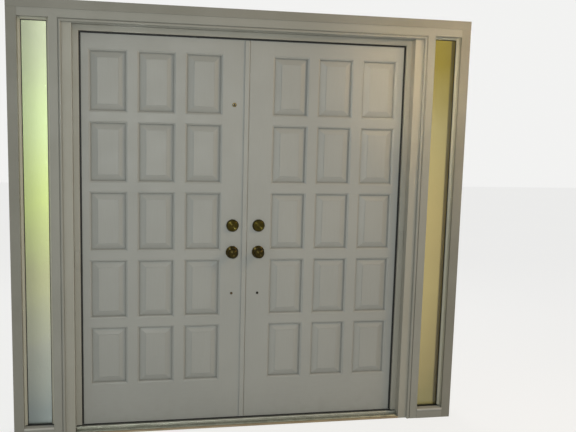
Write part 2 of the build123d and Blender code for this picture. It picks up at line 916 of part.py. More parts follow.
# Astragal: a stem on the left leaf's edge with a flange over its room-side face
stem_mid = (stem_left + stem_right) / 2
tab_face = stem_right - flush_tab_inset
upper_rod_top = leaf_top - flush_rest_recess
lower_rod_foot = leaf_bottom + flush_rest_recess
upper_tab_z = upper_rod_top - flush_rod_length + flush_tab_height
lower_tab_z = lower_rod_foot + flush_rod_length - flush_tab_height
with BuildPart() as astragal:
    block((stem_left, stem_right), (0, leaf_back), (leaf_bottom, leaf_top))
    with BuildSketch(Plane.XY.offset(leaf_bottom + astragal_bottom_cutback)) as flange:
        with Locations((stem_right, 0)):
            Rectangle(
                astragal_flange_width,
                astragal_flange_thickness,
                align=(Align.MAX, Align.MAX),
            )
        fillet(flange.vertices().group_by(Axis.Y)[0], radius=2.0)
    extrude(amount=leaf_height - astragal_bottom_cutback - astragal_top_cutback)
    with BuildSketch(Plane.XY.offset(leaf_bottom)) as rod_bore_low:
        with Locations((stem_mid, sash_mid_y)):
            Circle(flush_rod_radius + sliding_clearance)
    extrude(
        amount=flush_rod_length + flush_rest_recess + pocket_room,
        mode=Mode.SUBTRACT,
    )
    with BuildSketch(Plane.XY.offset(leaf_top)) as rod_bore_high:
        with Locations((stem_mid, sash_mid_y)):
            Circle(flush_rod_radius + sliding_clearance)
    extrude(
        amount=-(flush_rod_length + flush_rest_recess + pocket_room),
        mode=Mode.SUBTRACT,
    )
    slot_half = flush_tab_width / 2 + sliding_clearance
    block(
        (stem_mid, stem_right),
        (sash_mid_y - slot_half, sash_mid_y + slot_half),
        (
            upper_tab_z - flush_tab_height / 2 - sliding_clearance,
            upper_tab_z + flush_tab_height / 2 + flush_travel_up + sliding_clearance,
        ),
        mode=Mode.SUBTRACT,
    )
    block(
        (stem_mid, stem_right),
        (sash_mid_y - slot_half, sash_mid_y + slot_half),
        (
            lower_tab_z - flush_tab_height / 2 - flush_travel_down - sliding_clearance,
            lower_tab_z + flush_tab_height / 2 + sliding_clearance,
        ),
        mode=Mode.SUBTRACT,
    )
    with BuildSketch(Plane.YZ.offset(stem_right)) as strike_recesses:
        with Locations((sash_mid_y, knob_z), (sash_mid_y, deadbolt_z)):
            RectangleRounded(
                front_width + 2 * gain_clearance,
                strike_height + 2 * gain_clearance,
                front_width * 0.2,
            )
    extrude(amount=-strike_thickness, mode=Mode.SUBTRACT)
    with BuildSketch(Plane.YZ.offset(stem_right)) as latch_pocket:
        with Locations((sash_mid_y, knob_z)):
            Rectangle(latch_width + 2 * pocket_room, latch_height + 2 * pocket_room)
    extrude(
        amount=-(latch_throw - parting_gap + pocket_room),
        mode=Mode.SUBTRACT,
    )
    with BuildSketch(Plane.YZ.offset(stem_right)) as deadbolt_passage:
        with Locations((sash_mid_y, deadbolt_z)):
            Rectangle(deadbolt_width + 2 * pocket_room, deadbolt_bar + 2 * pocket_room)
    extrude(amount=-astragal_stem, mode=Mode.SUBTRACT)

with BuildPart() as strikes:
    with BuildSketch(Plane.YZ.offset(stem_right - strike_thickness)) as strike_outline:
        with Locations((sash_mid_y, knob_z), (sash_mid_y, deadbolt_z)):
            RectangleRounded(front_width, strike_height, front_width * 0.2)
        with Locations((sash_mid_y, knob_z)):
            Rectangle(
                latch_width + pocket_room,
                latch_height + pocket_room,
                mode=Mode.SUBTRACT,
            )
        with Locations((sash_mid_y, deadbolt_z)):
            Rectangle(
                deadbolt_width + pocket_room,
                deadbolt_bar + pocket_room,
                mode=Mode.SUBTRACT,
            )
    extrude(amount=strike_thickness)

# Flush bolts: a rod with a thumb tab that shows in the astragal's edge
with BuildPart() as upper_flush_bolt:
    with BuildSketch(Plane.XY.offset(upper_rod_top - flush_rod_length)) as upper_rod:
        with Locations((stem_mid, sash_mid_y)):
            Circle(flush_rod_radius)
    extrude(amount=flush_rod_length)
    block(
        (stem_mid, tab_face),
        (sash_mid_y - flush_tab_width / 2, sash_mid_y + flush_tab_width / 2),
        (upper_tab_z - flush_tab_height / 2, upper_tab_z + flush_tab_height / 2),
    )

with BuildPart() as lower_flush_bolt:
    with BuildSketch(Plane.XY.offset(lower_rod_foot)) as lower_rod:
        with Locations((stem_mid, sash_mid_y)):
            Circle(flush_rod_radius)
    extrude(amount=flush_rod_length)
    block(
        (stem_mid, tab_face),
        (sash_mid_y - flush_tab_width / 2, sash_mid_y + flush_tab_width / 2),
        (lower_tab_z - flush_tab_height / 2, lower_tab_z + flush_tab_height / 2),
    )

# Butt hinges: plates in the gains, knuckles shared between jamb and leaf
knuckle_length = (hinge_height - (knuckle_count - 1) * knuckle_gap) / knuckle_count
knuckle_pitch = knuckle_length + knuckle_gap


def hinge_half(level, plate_span, taken):
    """One plate of a butt hinge with the knuckles in the taken places."""
    low = level - hinge_height / 2
    block(
        plate_span,
        (hinge_plate_back, leaf_back + gain_clearance),
        (low, low + hinge_height),
    )
    for place in taken:
        knuckle_low = low + place * knuckle_pitch
        block(
            plate_span,
            (leaf_back, hinge_axis_y),
            (knuckle_low, knuckle_low + knuckle_length),
        )
        with Locations((hinge_axis_x, hinge_axis_y, knuckle_low)):
            Cylinder(
                knuckle_radius,
                knuckle_length,
                align=(Align.CENTER, Align.CENTER, Align.MIN),
            )
    with Locations((hinge_axis_x, hinge_axis_y, low)):
        Cylinder(
            pin_radius + pin_clearance,
            hinge_height,
            align=(Align.CENTER, Align.CENTER, Align.MIN),
            mode=Mode.SUBTRACT,
        )


with BuildPart() as jamb_hinge_leaves:
    for level in hinge_levels:
        hinge_half(
            level,
            (rabbet_half, rabbet_half + hinge_plate_thickness),
            range(0, knuckle_count, 2),
        )
    mirror(about=Plane.YZ)

with BuildPart() as right_hinge_leaves:
    for level in hinge_levels:
        hinge_half(
            level,
            (leaf_outer - hinge_plate_thickness, leaf_outer),
            range(1, knuckle_count, 2),
        )

with BuildPart() as left_hinge_leaves:
    mirror(right_hinge_leaves.part, about=Plane.YZ)

with BuildPart() as hinge_pins:
    for level in hinge_levels:
        with Locations((hinge_axis_x, hinge_axis_y, level - hinge_height / 2)):
            Cylinder(
                pin_radius,
                hinge_height,
                align=(Align.CENTER, Align.CENTER, Align.MIN),
            )
        with Locations((hinge_axis_x, hinge_axis_y, level + hinge_height / 2)):
            Cylinder(
                pin_head_radius,
                pin_head_height,
                align=(Align.CENTER, Align.CENTER, Align.MIN),
            )
    mirror(about=Plane.YZ)


def turned(points, centre_x, level, outward):
    """Half section of a turned piece: radius and distance from the leaf's face."""
    face = 0 if outward < 0 else leaf_back
    return [(centre_x + radius, face + outward * out, level) for radius, out in points]


# Rose: a low dome with an open middle for the knob's neck
rose_bore = knob_neck_radius + turning_clearance


def build_rose(centre_x):
    """Turned rose on the room side of a leaf."""
    with BuildPart() as rose:
        with BuildSketch(Plane.XY.offset(knob_z)):
            with BuildLine():
                Polyline(
                    *turned(
                        [
                            (rose_bore, rose_thickness),
                            (rose_bore, 0),
                            (rose_radius, 0),
                            (rose_radius, rose_thickness * 0.3),
                        ],
                        centre_x,
                        0,
                        -1,
                    )
                )
                ThreePointArc(
                    *turned(
                        [
                            (rose_radius, rose_thickness * 0.3),
                            (rose_radius * 0.8, rose_thickness * 0.72),
                            (rose_bore + 2.0, rose_thickness),
                        ],
                        centre_x,
                        0,
                        -1,
                    )
                )
                Line(
                    *turned(
                        [(rose_bore + 2.0, rose_thickness), (rose_bore, rose_thickness)],
                        centre_x,
                        0,
                        -1,
                    )
                )
            make_face()
        revolve(axis=Axis((centre_x, 0, knob_z), (0, 1, 0)))
    return rose.part


def build_knob(centre_x, reach):
    """Turned knob with its neck and a square spindle that goes reach deep."""
    with BuildPart() as knob:
        with BuildSketch(Plane.XY.offset(knob_z)):
            with BuildLine():
                Polyline(
                    *turned(
                        [
                            (0, knob_projection - 2.0),
                            (0, 0),
                            (knob_neck_radius, 0),
                            (knob_neck_radius, rose_thickness + 5.0),
                        ],
                        centre_x,
                        0,
                        -1,
                    )
                )
                Spline(
                    *turned(
                        [
                            (knob_neck_radius, rose_thickness + 5.0),
                            (knob_radius * 0.72, knob_projection * 0.44),
                            (knob_radius, knob_projection * 0.64),
                            (knob_radius * 0.8, knob_projection * 0.9),
                            (knob_radius * 0.35, knob_projection),
                        ],
                        centre_x,
                        0,
                        -1,
                    )
                )
                Line(
                    *turned(
                        [
                            (knob_radius * 0.35, knob_projection),
                            (0, knob_projection - 2.0),
                        ],
                        centre_x,
                        0,
                        -1,
                    )
                )
            make_face()
        revolve(axis=Axis((centre_x, 0, knob_z), (0, 1, 0)))
        if reach > 0:
            with Locations((centre_x, reach / 2, knob_z)):
                Box(spindle_size, reach, spindle_size)
    return knob.part


with BuildPart() as right_rose:
    add(build_rose(bore_x))

with BuildPart() as left_rose:
    add(build_rose(-bore_x))

with BuildPart() as right_knob:
    add(build_knob(bore_x, spindle_reach))

with BuildPart() as left_knob:
    add(build_knob(-bore_x, 0))


def build_collars(centre_x, open_middle):
    """Tapered lock collars on both faces of a leaf, open for a plug or closed."""
    inner = plug_radius + turning_clearance if open_middle else 0
    with BuildPart() as collars:
        for outward in (-1, 1):
            with BuildSketch(Plane.XY.offset(deadbolt_z)):
                with BuildLine():
                    Polyline(
                        *turned(
                            [
                                (inner, 0),
                                (collar_radius, 0),
                                (collar_radius, collar_thickness * 0.25),
                                (collar_face_radius, collar_thickness * 0.9),
                                (collar_face_radius - 2.5, collar_thickness),
                                (plug_radius + 4.0, collar_thickness),
                                (plug_radius + 3.0, collar_thickness - 1.5),
                                (inner, collar_thickness - 1.5),
                            ],
                            centre_x,
                            0,
                            outward,
                        ),
                        close=True,
                    )
                make_face()
            revolve(axis=Axis((centre_x, 0, deadbolt_z), (0, 1, 0)))
    return collars.part


with BuildPart() as right_deadbolt_collars:
    add(build_collars(bore_x, True))

with BuildPart() as left_deadbolt_collars:
    add(build_collars(-bore_x, False))

# Key plugs of the deadbolt, joined by the tail bar that works the bolt
plug_out = collar_thickness - 1.0
with BuildPart() as deadbolt_plug:
    with BuildSketch(Plane.XZ.offset(plug_out)) as plug_circle:
        with Locations((bore_x, deadbolt_z)):
            Circle(plug_radius)
    extrude(amount=-plug_out)
    with BuildSketch(Plane.XZ.offset(-leaf_back - plug_out)) as outer_plug_circle:
        with Locations((bore_x, deadbolt_z)):
            Circle(plug_radius)
    extrude(amount=plug_out)
    with BuildSketch(Plane.XZ) as tail_circle:
        with Locations((bore_x, deadbolt_z)):
            Circle(tail_radius)
    extrude(amount=-leaf_thickness)
    block(
        (bore_x - keyway_width / 2, bore_x + keyway_width / 2),
        (-plug_out, -plug_out + keyway_depth),
        (deadbolt_z - keyway_height / 2, deadbolt_z + keyway_height / 2),
        mode=Mode.SUBTRACT,
    )
    block(
        (bore_x - keyway_width / 2, bore_x + keyway_width / 2),
        (leaf_back + plug_out - keyway_depth, leaf_back + plug_out),
        (deadbolt_z - keyway_height / 2, deadbolt_z + keyway_height / 2),
        mode=Mode.SUBTRACT,
    )

# Bolt cases: a front let into the leaf's edge and the tube behind it
case_length = latch_length - 6.0
with BuildPart() as bolt_cases:
    with BuildSketch(Plane.YZ.offset(centre_half)) as fronts:
        with Locations((sash_mid_y, knob_z), (sash_mid_y, deadbolt_z)):
            RectangleRounded(front_width, front_height, front_width * 0.2)
    extrude(amount=front_thickness)
    with BuildSketch(Plane.YZ.offset(centre_half + front_thickness)) as tubes:
        with Locations((sash_mid_y, knob_z), (sash_mid_y, deadbolt_z)):
            Circle(case_radius)
    extrude(amount=case_length - front_thickness)
    with BuildSketch(Plane.YZ.offset(centre_half)) as bolt_ways:
        with Locations((sash_mid_y, knob_z)):
            Rectangle(
                latch_width + 2 * sliding_clearance,
                latch_height + 2 * sliding_clearance,
            )
        with Locations((sash_mid_y, deadbolt_z)):
            Rectangle(
                deadbolt_width + 2 * sliding_clearance,
                deadbolt_bar + 2 * sliding_clearance,
            )
    extrude(amount=case_length, mode=Mode.SUBTRACT)

# Spring latch, bevelled on the side that meets the strike as the leaf closes
latch_tip = centre_half - latch_throw
with BuildPart() as latch_bolt:
    with BuildSketch(Plane.XY.offset(knob_z - latch_height / 2)) as latch_outline:
        with BuildLine():
            Polyline(
                (latch_tip + latch_length, sash_mid_y - latch_width / 2),
                (centre_half - 1.0, sash_mid_y - latch_width / 2),
                (latch_tip, sash_mid_y + latch_width / 2 - 3.0),
                (latch_tip, sash_mid_y + latch_width / 2),
                (latch_tip + latch_length, sash_mid_y + latch_width / 2),
                close=True,
            )
        make_face()
    extrude(amount=latch_height)

with BuildPart() as deadbolt:
    block(
        (centre_half + sliding_clearance, centre_half + sliding_clearance + deadbolt_length),
        (sash_mid_y - deadbolt_width / 2, sash_mid_y + deadbolt_width / 2),
        (deadbolt_z - deadbolt_bar / 2, deadbolt_z + deadbolt_bar / 2),
    )
    fillet(
        deadbolt.faces().sort_by(Axis.X)[0].edges(),
        radius=1.5,
    )

# Street-side grips: plate, bowed handle and foot in one casting, with a thumb piece
plate_face = leaf_back + grip_plate_thickness
grip_start_z = knob_z - grip_plate_height / 2 + grip_radius + 6.0
grip_out_y = leaf_back + grip_projection
thumb_pivot_y = plate_face - thumb_pin_radius - 1.0
thumb_pivot_z = knob_z + 12.0
with BuildPart() as right_handleset:
    with BuildSketch(Plane.XZ.offset(-leaf_back)) as plate_outline:
        with Locations((bore_x, knob_z)):
            RectangleRounded(grip_plate_width, grip_plate_height, grip_plate_width * 0.45)
    extrude(amount=-grip_plate_thickness)
    chamfer(
        right_handleset.faces().sort_by(Axis.Y)[-1].edges(),
        length=2.5,
    )
    with BuildSketch(Plane.XZ.offset(-leaf_back)) as foot_outline:
        with Locations((bore_x, grip_bolt_z)):
            Circle(grip_foot_radius)
    extrude(amount=-grip_plate_thickness)
    with BuildLine() as grip_path:
        FilletPolyline(
            (bore_x, leaf_back + 2.0, grip_start_z),
            (bore_x, grip_out_y, grip_start_z),
            (bore_x, grip_out_y, grip_bolt_z),
            (bore_x, leaf_back + 2.0, grip_bolt_z),
            radius=grip_bend,
        )
    with BuildSketch(Plane.XZ.offset(-leaf_back - 2.0)) as grip_section:
        with Locations((bore_x, grip_start_z)):
            Circle(grip_radius)
    sweep(path=grip_path.wires()[0])
    with BuildSketch(Plane.XZ.offset(-leaf_back)) as thread_hole:
        with Locations((bore_x, grip_bolt_z)):
            Circle(through_bolt_radius)
    extrude(amount=-grip_plate_thickness, mode=Mode.SUBTRACT)
    slot_low = thumb_pivot_z - thumb_thickness
    slot_high = thumb_pivot_z + thumb_thickness * 1.6
    block(
        (bore_x - thumb_width / 2 - thumb_slot_room, bore_x + thumb_width / 2 + thumb_slot_room),
        (leaf_back, plate_face),
        (slot_low - thumb_slot_room, slot_high + thumb_slot_room),
        mode=Mode.SUBTRACT,
    )

with BuildPart() as left_handleset:
    mirror(right_handleset.part, about=Plane.YZ)

# Thumb piece: a curved tongue that rocks on a cross pin in the plate's slot
with BuildPart() as right_thumbpiece:
    with BuildSketch(Plane.YZ.offset(bore_x - thumb_width / 2)) as thumb_section:
        with BuildLine():
            ThreePointArc(
                (thumb_pivot_y, thumb_pivot_z + thumb_thickness / 2),
                (thumb_pivot_y + thumb_length * 0.5, thumb_pivot_z + thumb_thickness / 2 + 3.0),
                (thumb_pivot_y + thumb_length, thumb_pivot_z + thumb_thickness / 2 - 1.0),
            )
            Line(
                (thumb_pivot_y + thumb_length, thumb_pivot_z + thumb_thickness / 2 - 1.0),
                (thumb_pivot_y + thumb_length, thumb_pivot_z - thumb_thickness / 2 - 1.0),
            )
            ThreePointArc(
                (thumb_pivot_y + thumb_length, thumb_pivot_z - thumb_thickness / 2 - 1.0),
                (thumb_pivot_y + thumb_length * 0.5, thumb_pivot_z - thumb_thickness / 2 + 3.0),
                (thumb_pivot_y, thumb_pivot_z - thumb_thickness / 2),
            )
            Line(
                (thumb_pivot_y, thumb_pivot_z - thumb_thickness / 2),
                (thumb_pivot_y, thumb_pivot_z + thumb_thickness / 2),
            )
        make_face()
    extrude(amount=thumb_width)
    with BuildSketch(Plane.YZ.offset(bore_x - thumb_width / 2 - thumb_slot_room)) as thumb_pin:
        with Locations((thumb_pivot_y, thumb_pivot_z)):
            Circle(thumb_pin_radius)
    extrude(amount=thumb_width + 2 * thumb_slot_room)

with BuildPart() as left_thumbpiece:
    mirror(right_thumbpiece.part, about=Plane.YZ)

# Through bolts that hold the grips' feet, headed on the room side
with BuildPart() as right_through_bolt:
    with BuildSketch(Plane.XZ.offset(through_bolt_head_height)) as bolt_head:
        with Locations((bore_x, grip_bolt_z)):
            Circle(through_bolt_head_radius)
    extrude(amount=-through_bolt_head_height)
    chamfer(
        right_through_bolt.faces().sort_by(Axis.Y)[0].edges(),
        length=through_bolt_head_height * 0.4,
    )
    with BuildSketch(Plane.XZ) as bolt_shank:
        with Locations((bore_x, grip_bolt_z)):
            Circle(through_bolt_radius)
    extrude(amount=-(leaf_thickness + grip_plate_thickness * 0.7))

with BuildPart() as left_through_bolt:
    mirror(right_through_bolt.part, about=Plane.YZ)

# Door viewer: a flanged tube with its lens
with BuildPart() as door_viewer:
    with BuildSketch(Plane.XY.offset(viewer_z)) as viewer_half:
        with BuildLine():
            Polyline(
                (-bore_x, -viewer_flange_thickness + 1.0),
                (-bore_x + viewer_lens_radius, -viewer_flange_thickness + 1.0),
                (-bore_x + viewer_lens_radius + 1.0, -viewer_flange_thickness),
                (-bore_x + viewer_flange_radius - 1.0, -viewer_flange_thickness),
                (-bore_x + viewer_flange_radius, 0),
                (-bore_x + viewer_radius, 0),
                (-bore_x + viewer_radius, leaf_back),
                (-bore_x + viewer_flange_radius, leaf_back),
                (-bore_x + viewer_flange_radius - 1.0, leaf_back + viewer_flange_thickness),
                (-bore_x, leaf_back + viewer_flange_thickness),
                close=True,
            )
        make_face()
    revolve(axis=Axis((-bore_x, 0, viewer_z), (0, 1, 0)))

nodes = {
    "hinge_jamb_left": hinge_jamb_left,
    "hinge_jamb_right": hinge_jamb_right,
    "head_jamb": head_jamb,
    "mullions": mullions,
    "outer_jambs": outer_jambs,
    "sidelight_heads": sidelight_heads,
    "sidelight_sills": sidelight_sills,
    "sidelight_stools": sidelight_stools,
    "sidelight_trims": sidelight_trims,
    "sidelight_glass_left": sidelight_glass_left,
    "sidelight_glass_right": sidelight_glass_right,
    "glazing_stops": glazing_stops,
    "glazing_gaskets": glazing_gaskets,
    "door_stops": door_stops,
    "weatherstrips": weatherstrips,
    "threshold": threshold,
    "threshold_bumper": threshold_bumper,
    "threshold_strip": threshold_strip,
    "door_casing_left": door_casing_left,
    "door_casing_right": door_casing_right,
    "door_casing_head": door_casing_head,
    "outer_casing": outer_casing,
    "brickmould": brickmould,
    "mull_covers": mull_covers,
    "contact_plates": contact_plates,
    "jamb_hinge_leaves": jamb_hinge_leaves,
    "hinge_pins": hinge_pins,
    "left_hinge_stile": left_hinge_stile,
    "left_lock_stile": left_lock_stile,
    "left_rails": left_rails,
    "left_muntins": left_muntins,
    "left_panels": left_panels,
    "left_hinge_leaves": left_hinge_leaves,
    "astragal": astragal,
    "strikes": strikes,
    "upper_flush_bolt": upper_flush_bolt,
    "lower_flush_bolt": lower_flush_bolt,
    "left_rose": left_rose,
    "left_knob": left_knob,
    "left_deadbolt_collars": left_deadbolt_collars,
    "left_handleset": left_handleset,
    "left_thumbpiece": left_thumbpiece,
    "left_through_bolt": left_through_bolt,
    "door_viewer": door_viewer,
    "right_hinge_stile": right_hinge_stile,
    "right_lock_stile": right_lock_stile,
    "right_rails": right_rails,
    "right_muntins": right_muntins,
    "right_panels": right_panels,
    "right_hinge_leaves": right_hinge_leaves,
    "right_rose": right_rose,
    "right_knob": right_knob,
    "right_deadbolt_collars": right_deadbolt_collars,
    "deadbolt_plug": deadbolt_plug,
    "bolt_cases": bolt_cases,
    "latch_bolt": latch_bolt,
    "deadbolt": deadbolt,
    "right_handleset": right_handleset,
    "right_thumbpiece": right_thumbpiece,
    "right_through_bolt": right_through_bolt,
}
for name, node in nodes.items():
    node.part.label = name
    export_step(node.part, f"parts/{name}.step")
print(len(nodes), "nodes written")
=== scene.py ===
"""Looks of the entrance double door: paint, brass, rubber, glass and the small fixings of its frame."""

import logging
import math
from collections.abc import Iterable, Sequence
from dataclasses import dataclass, field
from enum import Enum

import bmesh
import bpy
from mathutils import Matrix, Vector


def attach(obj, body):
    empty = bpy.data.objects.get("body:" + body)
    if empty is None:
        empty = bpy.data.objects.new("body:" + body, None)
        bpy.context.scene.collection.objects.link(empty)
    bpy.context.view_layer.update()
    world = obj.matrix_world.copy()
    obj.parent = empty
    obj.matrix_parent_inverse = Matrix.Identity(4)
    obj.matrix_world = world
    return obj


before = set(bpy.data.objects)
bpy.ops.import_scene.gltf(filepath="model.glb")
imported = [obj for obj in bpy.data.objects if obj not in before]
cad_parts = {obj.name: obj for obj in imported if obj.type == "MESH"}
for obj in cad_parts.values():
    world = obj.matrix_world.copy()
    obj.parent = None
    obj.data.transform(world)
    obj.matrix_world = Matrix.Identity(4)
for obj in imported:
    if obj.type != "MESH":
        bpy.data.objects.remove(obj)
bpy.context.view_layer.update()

logging.basicConfig(level=logging.INFO, format="%(name)s: %(message)s")
log = logging.getLogger("double_door")

Span = tuple[float, float]
Colour = tuple[float, float, float]
Point = tuple[float, float, float]
Socket = bpy.types.NodeSocket
Material = bpy.types.Material
Piece = bpy.types.Object

ORIGIN: Point = (0.0, 0.0, 0.0)
FULL_SIZE: Point = (1.0, 1.0, 1.0)
UP: Point = (0.0, 0.0, 1.0)
DOWN: Point = (0.0, 0.0, -1.0)
INTO_ROOM: Point = (0.0, -1.0, 0.0)
EDGE_SAMPLES = 4
EDGE_TURN: Span = (0.98, 0.80)
CORNER_SHADE: Span = (0.95, 0.35)
TURNING_STEPS = 40
TURNED_SHARP = math.radians(38.0)
STRIP_SHARP = math.radians(50.0)


class Stroke(Enum):
    """Direction in which a brush, a plane or a polishing belt went over a surface."""

    ALONG_X = (0.035, 1.0, 1.0)
    ALONG_Z = (1.0, 1.0, 0.035)


class Side(Enum):
    """Left or right of the middle of the doors, as seen from the room."""

    LEFT = -1
    RIGHT = 1


class Metal(Enum):
    """Main, dull and worn-bright colour of each metal."""

    # The threshold's bright colour also paints a highlight along its tread.
    THRESHOLD = ((0.215, 0.228, 0.180), (0.125, 0.132, 0.100), (0.480, 0.490, 0.425))
    SCREW_STEEL = ((0.40, 0.40, 0.38), (0.20, 0.20, 0.18), (0.62, 0.62, 0.60))
    BOLT_STEEL = ((0.420, 0.410, 0.380), (0.200, 0.190, 0.170), (0.680, 0.670, 0.640))
    HINGE_BRASS = ((0.340, 0.245, 0.090), (0.130, 0.085, 0.035), (0.640, 0.500, 0.240))
    STRIKE_BRASS = ((0.380, 0.290, 0.110), (0.150, 0.100, 0.040), (0.680, 0.560, 0.280))
    GRIP_BRASS = ((0.120, 0.088, 0.028), (0.040, 0.026, 0.010), (0.480, 0.380, 0.170))
    BROWN_BOLT = ((0.085, 0.058, 0.030), (0.010, 0.008, 0.006), (0.10, 0.08, 0.05))
    BLACK_BOLT = ((0.012, 0.011, 0.009), (0.010, 0.008, 0.006), (0.10, 0.08, 0.05))


class Fixing(Enum):
    """Kinds of small fixing that the fixing tree can set in a surface."""

    CROSS_SCREW = "cross_screw"
    DOME = "dome"


# Node trees


@dataclass
class NodeKit:
    """Node tree with short calls for the nodes that every kind of tree shares."""

    tree: bpy.types.NodeTree

    def feed(self, socket: Socket, value: object) -> None:
        """Link a socket into another, or write a plain value on it.

        Args:
            socket: Input socket that takes the value.
            value: Output socket, number, vector or colour.
        """
        if isinstance(value, bpy.types.NodeSocket):
            self.tree.links.new(value, socket)
        elif isinstance(value, tuple) and socket.type == "RGBA" and len(value) == 3:
            socket.default_value = (*value, 1.0)
        else:
            socket.default_value = value

    def node(
        self, kind: str, inputs: dict[str | int, object] | None = None, **settings: object
    ) -> bpy.types.Node:
        """Add a node.

        Args:
            kind: Blender's name of the node type.
            inputs: Names or numbers of inputs, with the socket or plain value that each takes.
            settings: Properties to set on the node.

        Returns:
            The new node.
        """
        made = self.tree.nodes.new(kind)
        for key, value in settings.items():
            setattr(made, key, value)
        for label, value in (inputs or {}).items():
            self.feed(made.inputs[label], value)
        return made

    def outcome(self, *kind: object, **settings: object) -> Socket:
        """Add a node and take its first output in use.

        Args:
            kind: Name of the node type and its inputs, as for any node.
            settings: Properties to set on the node.

        Returns:
            That output.
        """
        return next(socket for socket in self.node(*kind, **settings).outputs if socket.enabled)

    def maths(self, operation: str, *values: object) -> Socket:
        """One step of arithmetic.

        Args:
            operation: Name of the Math operation.
            values: Sockets or numbers that it takes.

        Returns:
            The result.
        """
        return self.outcome("ShaderNodeMath", dict(enumerate(values)), operation=operation)

    def times(self, *values: object) -> Socket:
        """Product of two values.

        Args:
            values: Two sockets or numbers.

        Returns:
            The product.
        """
        return self.maths("MULTIPLY", *values)

    def looked_at(self) -> Socket:
        """Whether a ray comes from the eye, straight, by a mirror or through glass.

        Returns:
            1 for such a ray and 0 for one that gathers light.
        """
        rays = self.node("ShaderNodeLightPath").outputs
        mirrored = self.maths("MAXIMUM", rays["Is Camera Ray"], rays["Is Glossy Ray"])
        return self.maths("MAXIMUM", mirrored, rays["Is Transmission Ray"])


class ShaderGraph(NodeKit):
    """Material with a Principled shader, and the patterns that the finishes share."""

    def __init__(self, name: str) -> None:
        """Start the material.

        Args:
            name: Name of the material.
        """
        self.material = bpy.data.materials.new(name)
        self.material.use_nodes = True
        super().__init__(self.material.node_tree)
        self.tree.nodes.clear()
        self.shader = self.node("ShaderNodeBsdfPrincipled")
        self.output = self.node("ShaderNodeOutputMaterial", {"Surface": self.shader.outputs["BSDF"]})
        self.place: Socket = self.node("ShaderNodeTexCoord").outputs["Object"]

    def surface(self, **values: object) -> Material:
        """Feed the shader's own sockets.

        Args:
            values: Socket names with underscores for spaces, with a socket or plain value for each.

        Returns:
            The finished material.
        """
        for key, value in values.items():
            self.feed(self.shader.inputs[key.replace("_", " ")], value)
        return self.material

    def stretched(self, factors: Point) -> Socket:
        """Object coordinates multiplied along each axis.

        Args:
            factors: Multiplier for X, Y and Z.

        Returns:
            The stretched coordinates.
        """
        return self.outcome("ShaderNodeMapping", {"Vector": self.place, "Scale": factors})

    def noise(self, scale: float, detail: float = 3.0, factors: Point | None = None) -> Socket:
        """Fractal noise between 0 and 1.

        Args:
            scale: Features per metre.
            detail: Number of finer octaves.
            factors: Multipliers that draw the pattern out along an axis, or None.

        Returns:
            The noise value.
        """
        place = self.stretched(factors) if factors else self.place
        inputs = {"Vector": place, "Scale": scale, "Detail": detail}
        return self.outcome("ShaderNodeTexNoise", inputs)

    def span(self, value: Socket, source: Span, target: Span, smooth: bool = True) -> Socket:
        """Carry a value from one range to another, held at the ends.

        Args:
            value: Value to carry.
            source: Low and high end it comes in with.
            target: Low and high end it leaves with.
            smooth: Whether it leaves and reaches the ends softly.

        Returns:
            The value in the target range.
        """
        kind = "SMOOTHSTEP" if smooth else "LINEAR"
        inputs = dict(enumerate((value, *source, *target)))
        return self.outcome("ShaderNodeMapRange", inputs, interpolation_type=kind)

    def patches(self, scale: float, detail: float, source: Span, target: Span) -> Socket:
        """Cloudy patches with a low and a high value.

        Args:
            scale: Patches per metre.
            detail: Number of finer octaves.
            source: Noise values at which the patches start and are full.
            target: Value outside and inside the patches.

        Returns:
            The value of the patches.
        """
        return self.span(self.noise(scale, detail), source, target)

    def layered(self, ground: object, *coats: tuple[Socket, object]) -> Socket:
        """Coats of colour laid over a ground.

        Args:
            ground: Colour or socket under them all.
            coats: Share and colour of each coat, from the lowest up.

        Returns:
            The colour that shows.
        """
        for share, colour in coats:
            ground = self.outcome("ShaderNodeMix", {0: share, 6: ground, 7: colour}, data_type="RGBA")
        return ground

    def axis(self, letter: str) -> Socket:
        """One coordinate of the object's own place.

        Args:
            letter: X, Y or Z.

        Returns:
            That coordinate in metres.
        """
        return self.node("ShaderNodeSeparateXYZ", {0: self.place}).outputs[letter]

    def bump(self, height: Socket, distance: float, strength: float, normal: Socket | None = None) -> Socket:
        """Relief that follows a height value.

        Args:
            height: Height value from 0 to 1.
            distance: Depth of the relief in metres.
            strength: Share of it that shows.
            normal: Normal that the relief is laid on.

        Returns:
            The new normal.
        """
        inputs = {"Height": height, "Distance": distance, "Strength": strength}
        if normal:
            inputs["Normal"] = normal
        return self.outcome("ShaderNodeBump", inputs)

    def worn_edges(self, radius: float) -> tuple[Socket, Socket]:
        """Edges rounded as paint and wear round them.

        Args:
            radius: Radius of the rounding in metres.

        Returns:
            The rounded normal, and a share that is 0 on a flat and up to 1 on an edge.
        """
        rounded = self.outcome("ShaderNodeBevel", {"Radius": radius}, samples=EDGE_SAMPLES)
        flat = self.node("ShaderNodeNewGeometry").outputs["Normal"]
        turn = self.outcome("ShaderNodeVectorMath", {0: rounded, 1: flat}, operation="DOT_PRODUCT")
        return rounded, self.span(turn, EDGE_TURN, (0.0, 1.0))

    def recess(self, reach: float) -> Socket:
        """Share of a point that lies in a corner or a groove, read from ambient occlusion: where shade falls,
        and where dust and tarnish stay.

        Args:
            reach: Distance over which a neighbour counts, in metres.

        Returns:
            0 in the open and up to 1 in a corner.
        """
        shade = self.node("ShaderNodeAmbientOcclusion", {"Distance": reach}, samples=EDGE_SAMPLES)
        return self.span(shade.outputs["AO"], CORNER_SHADE, (0.0, 1.0))


# Finishes


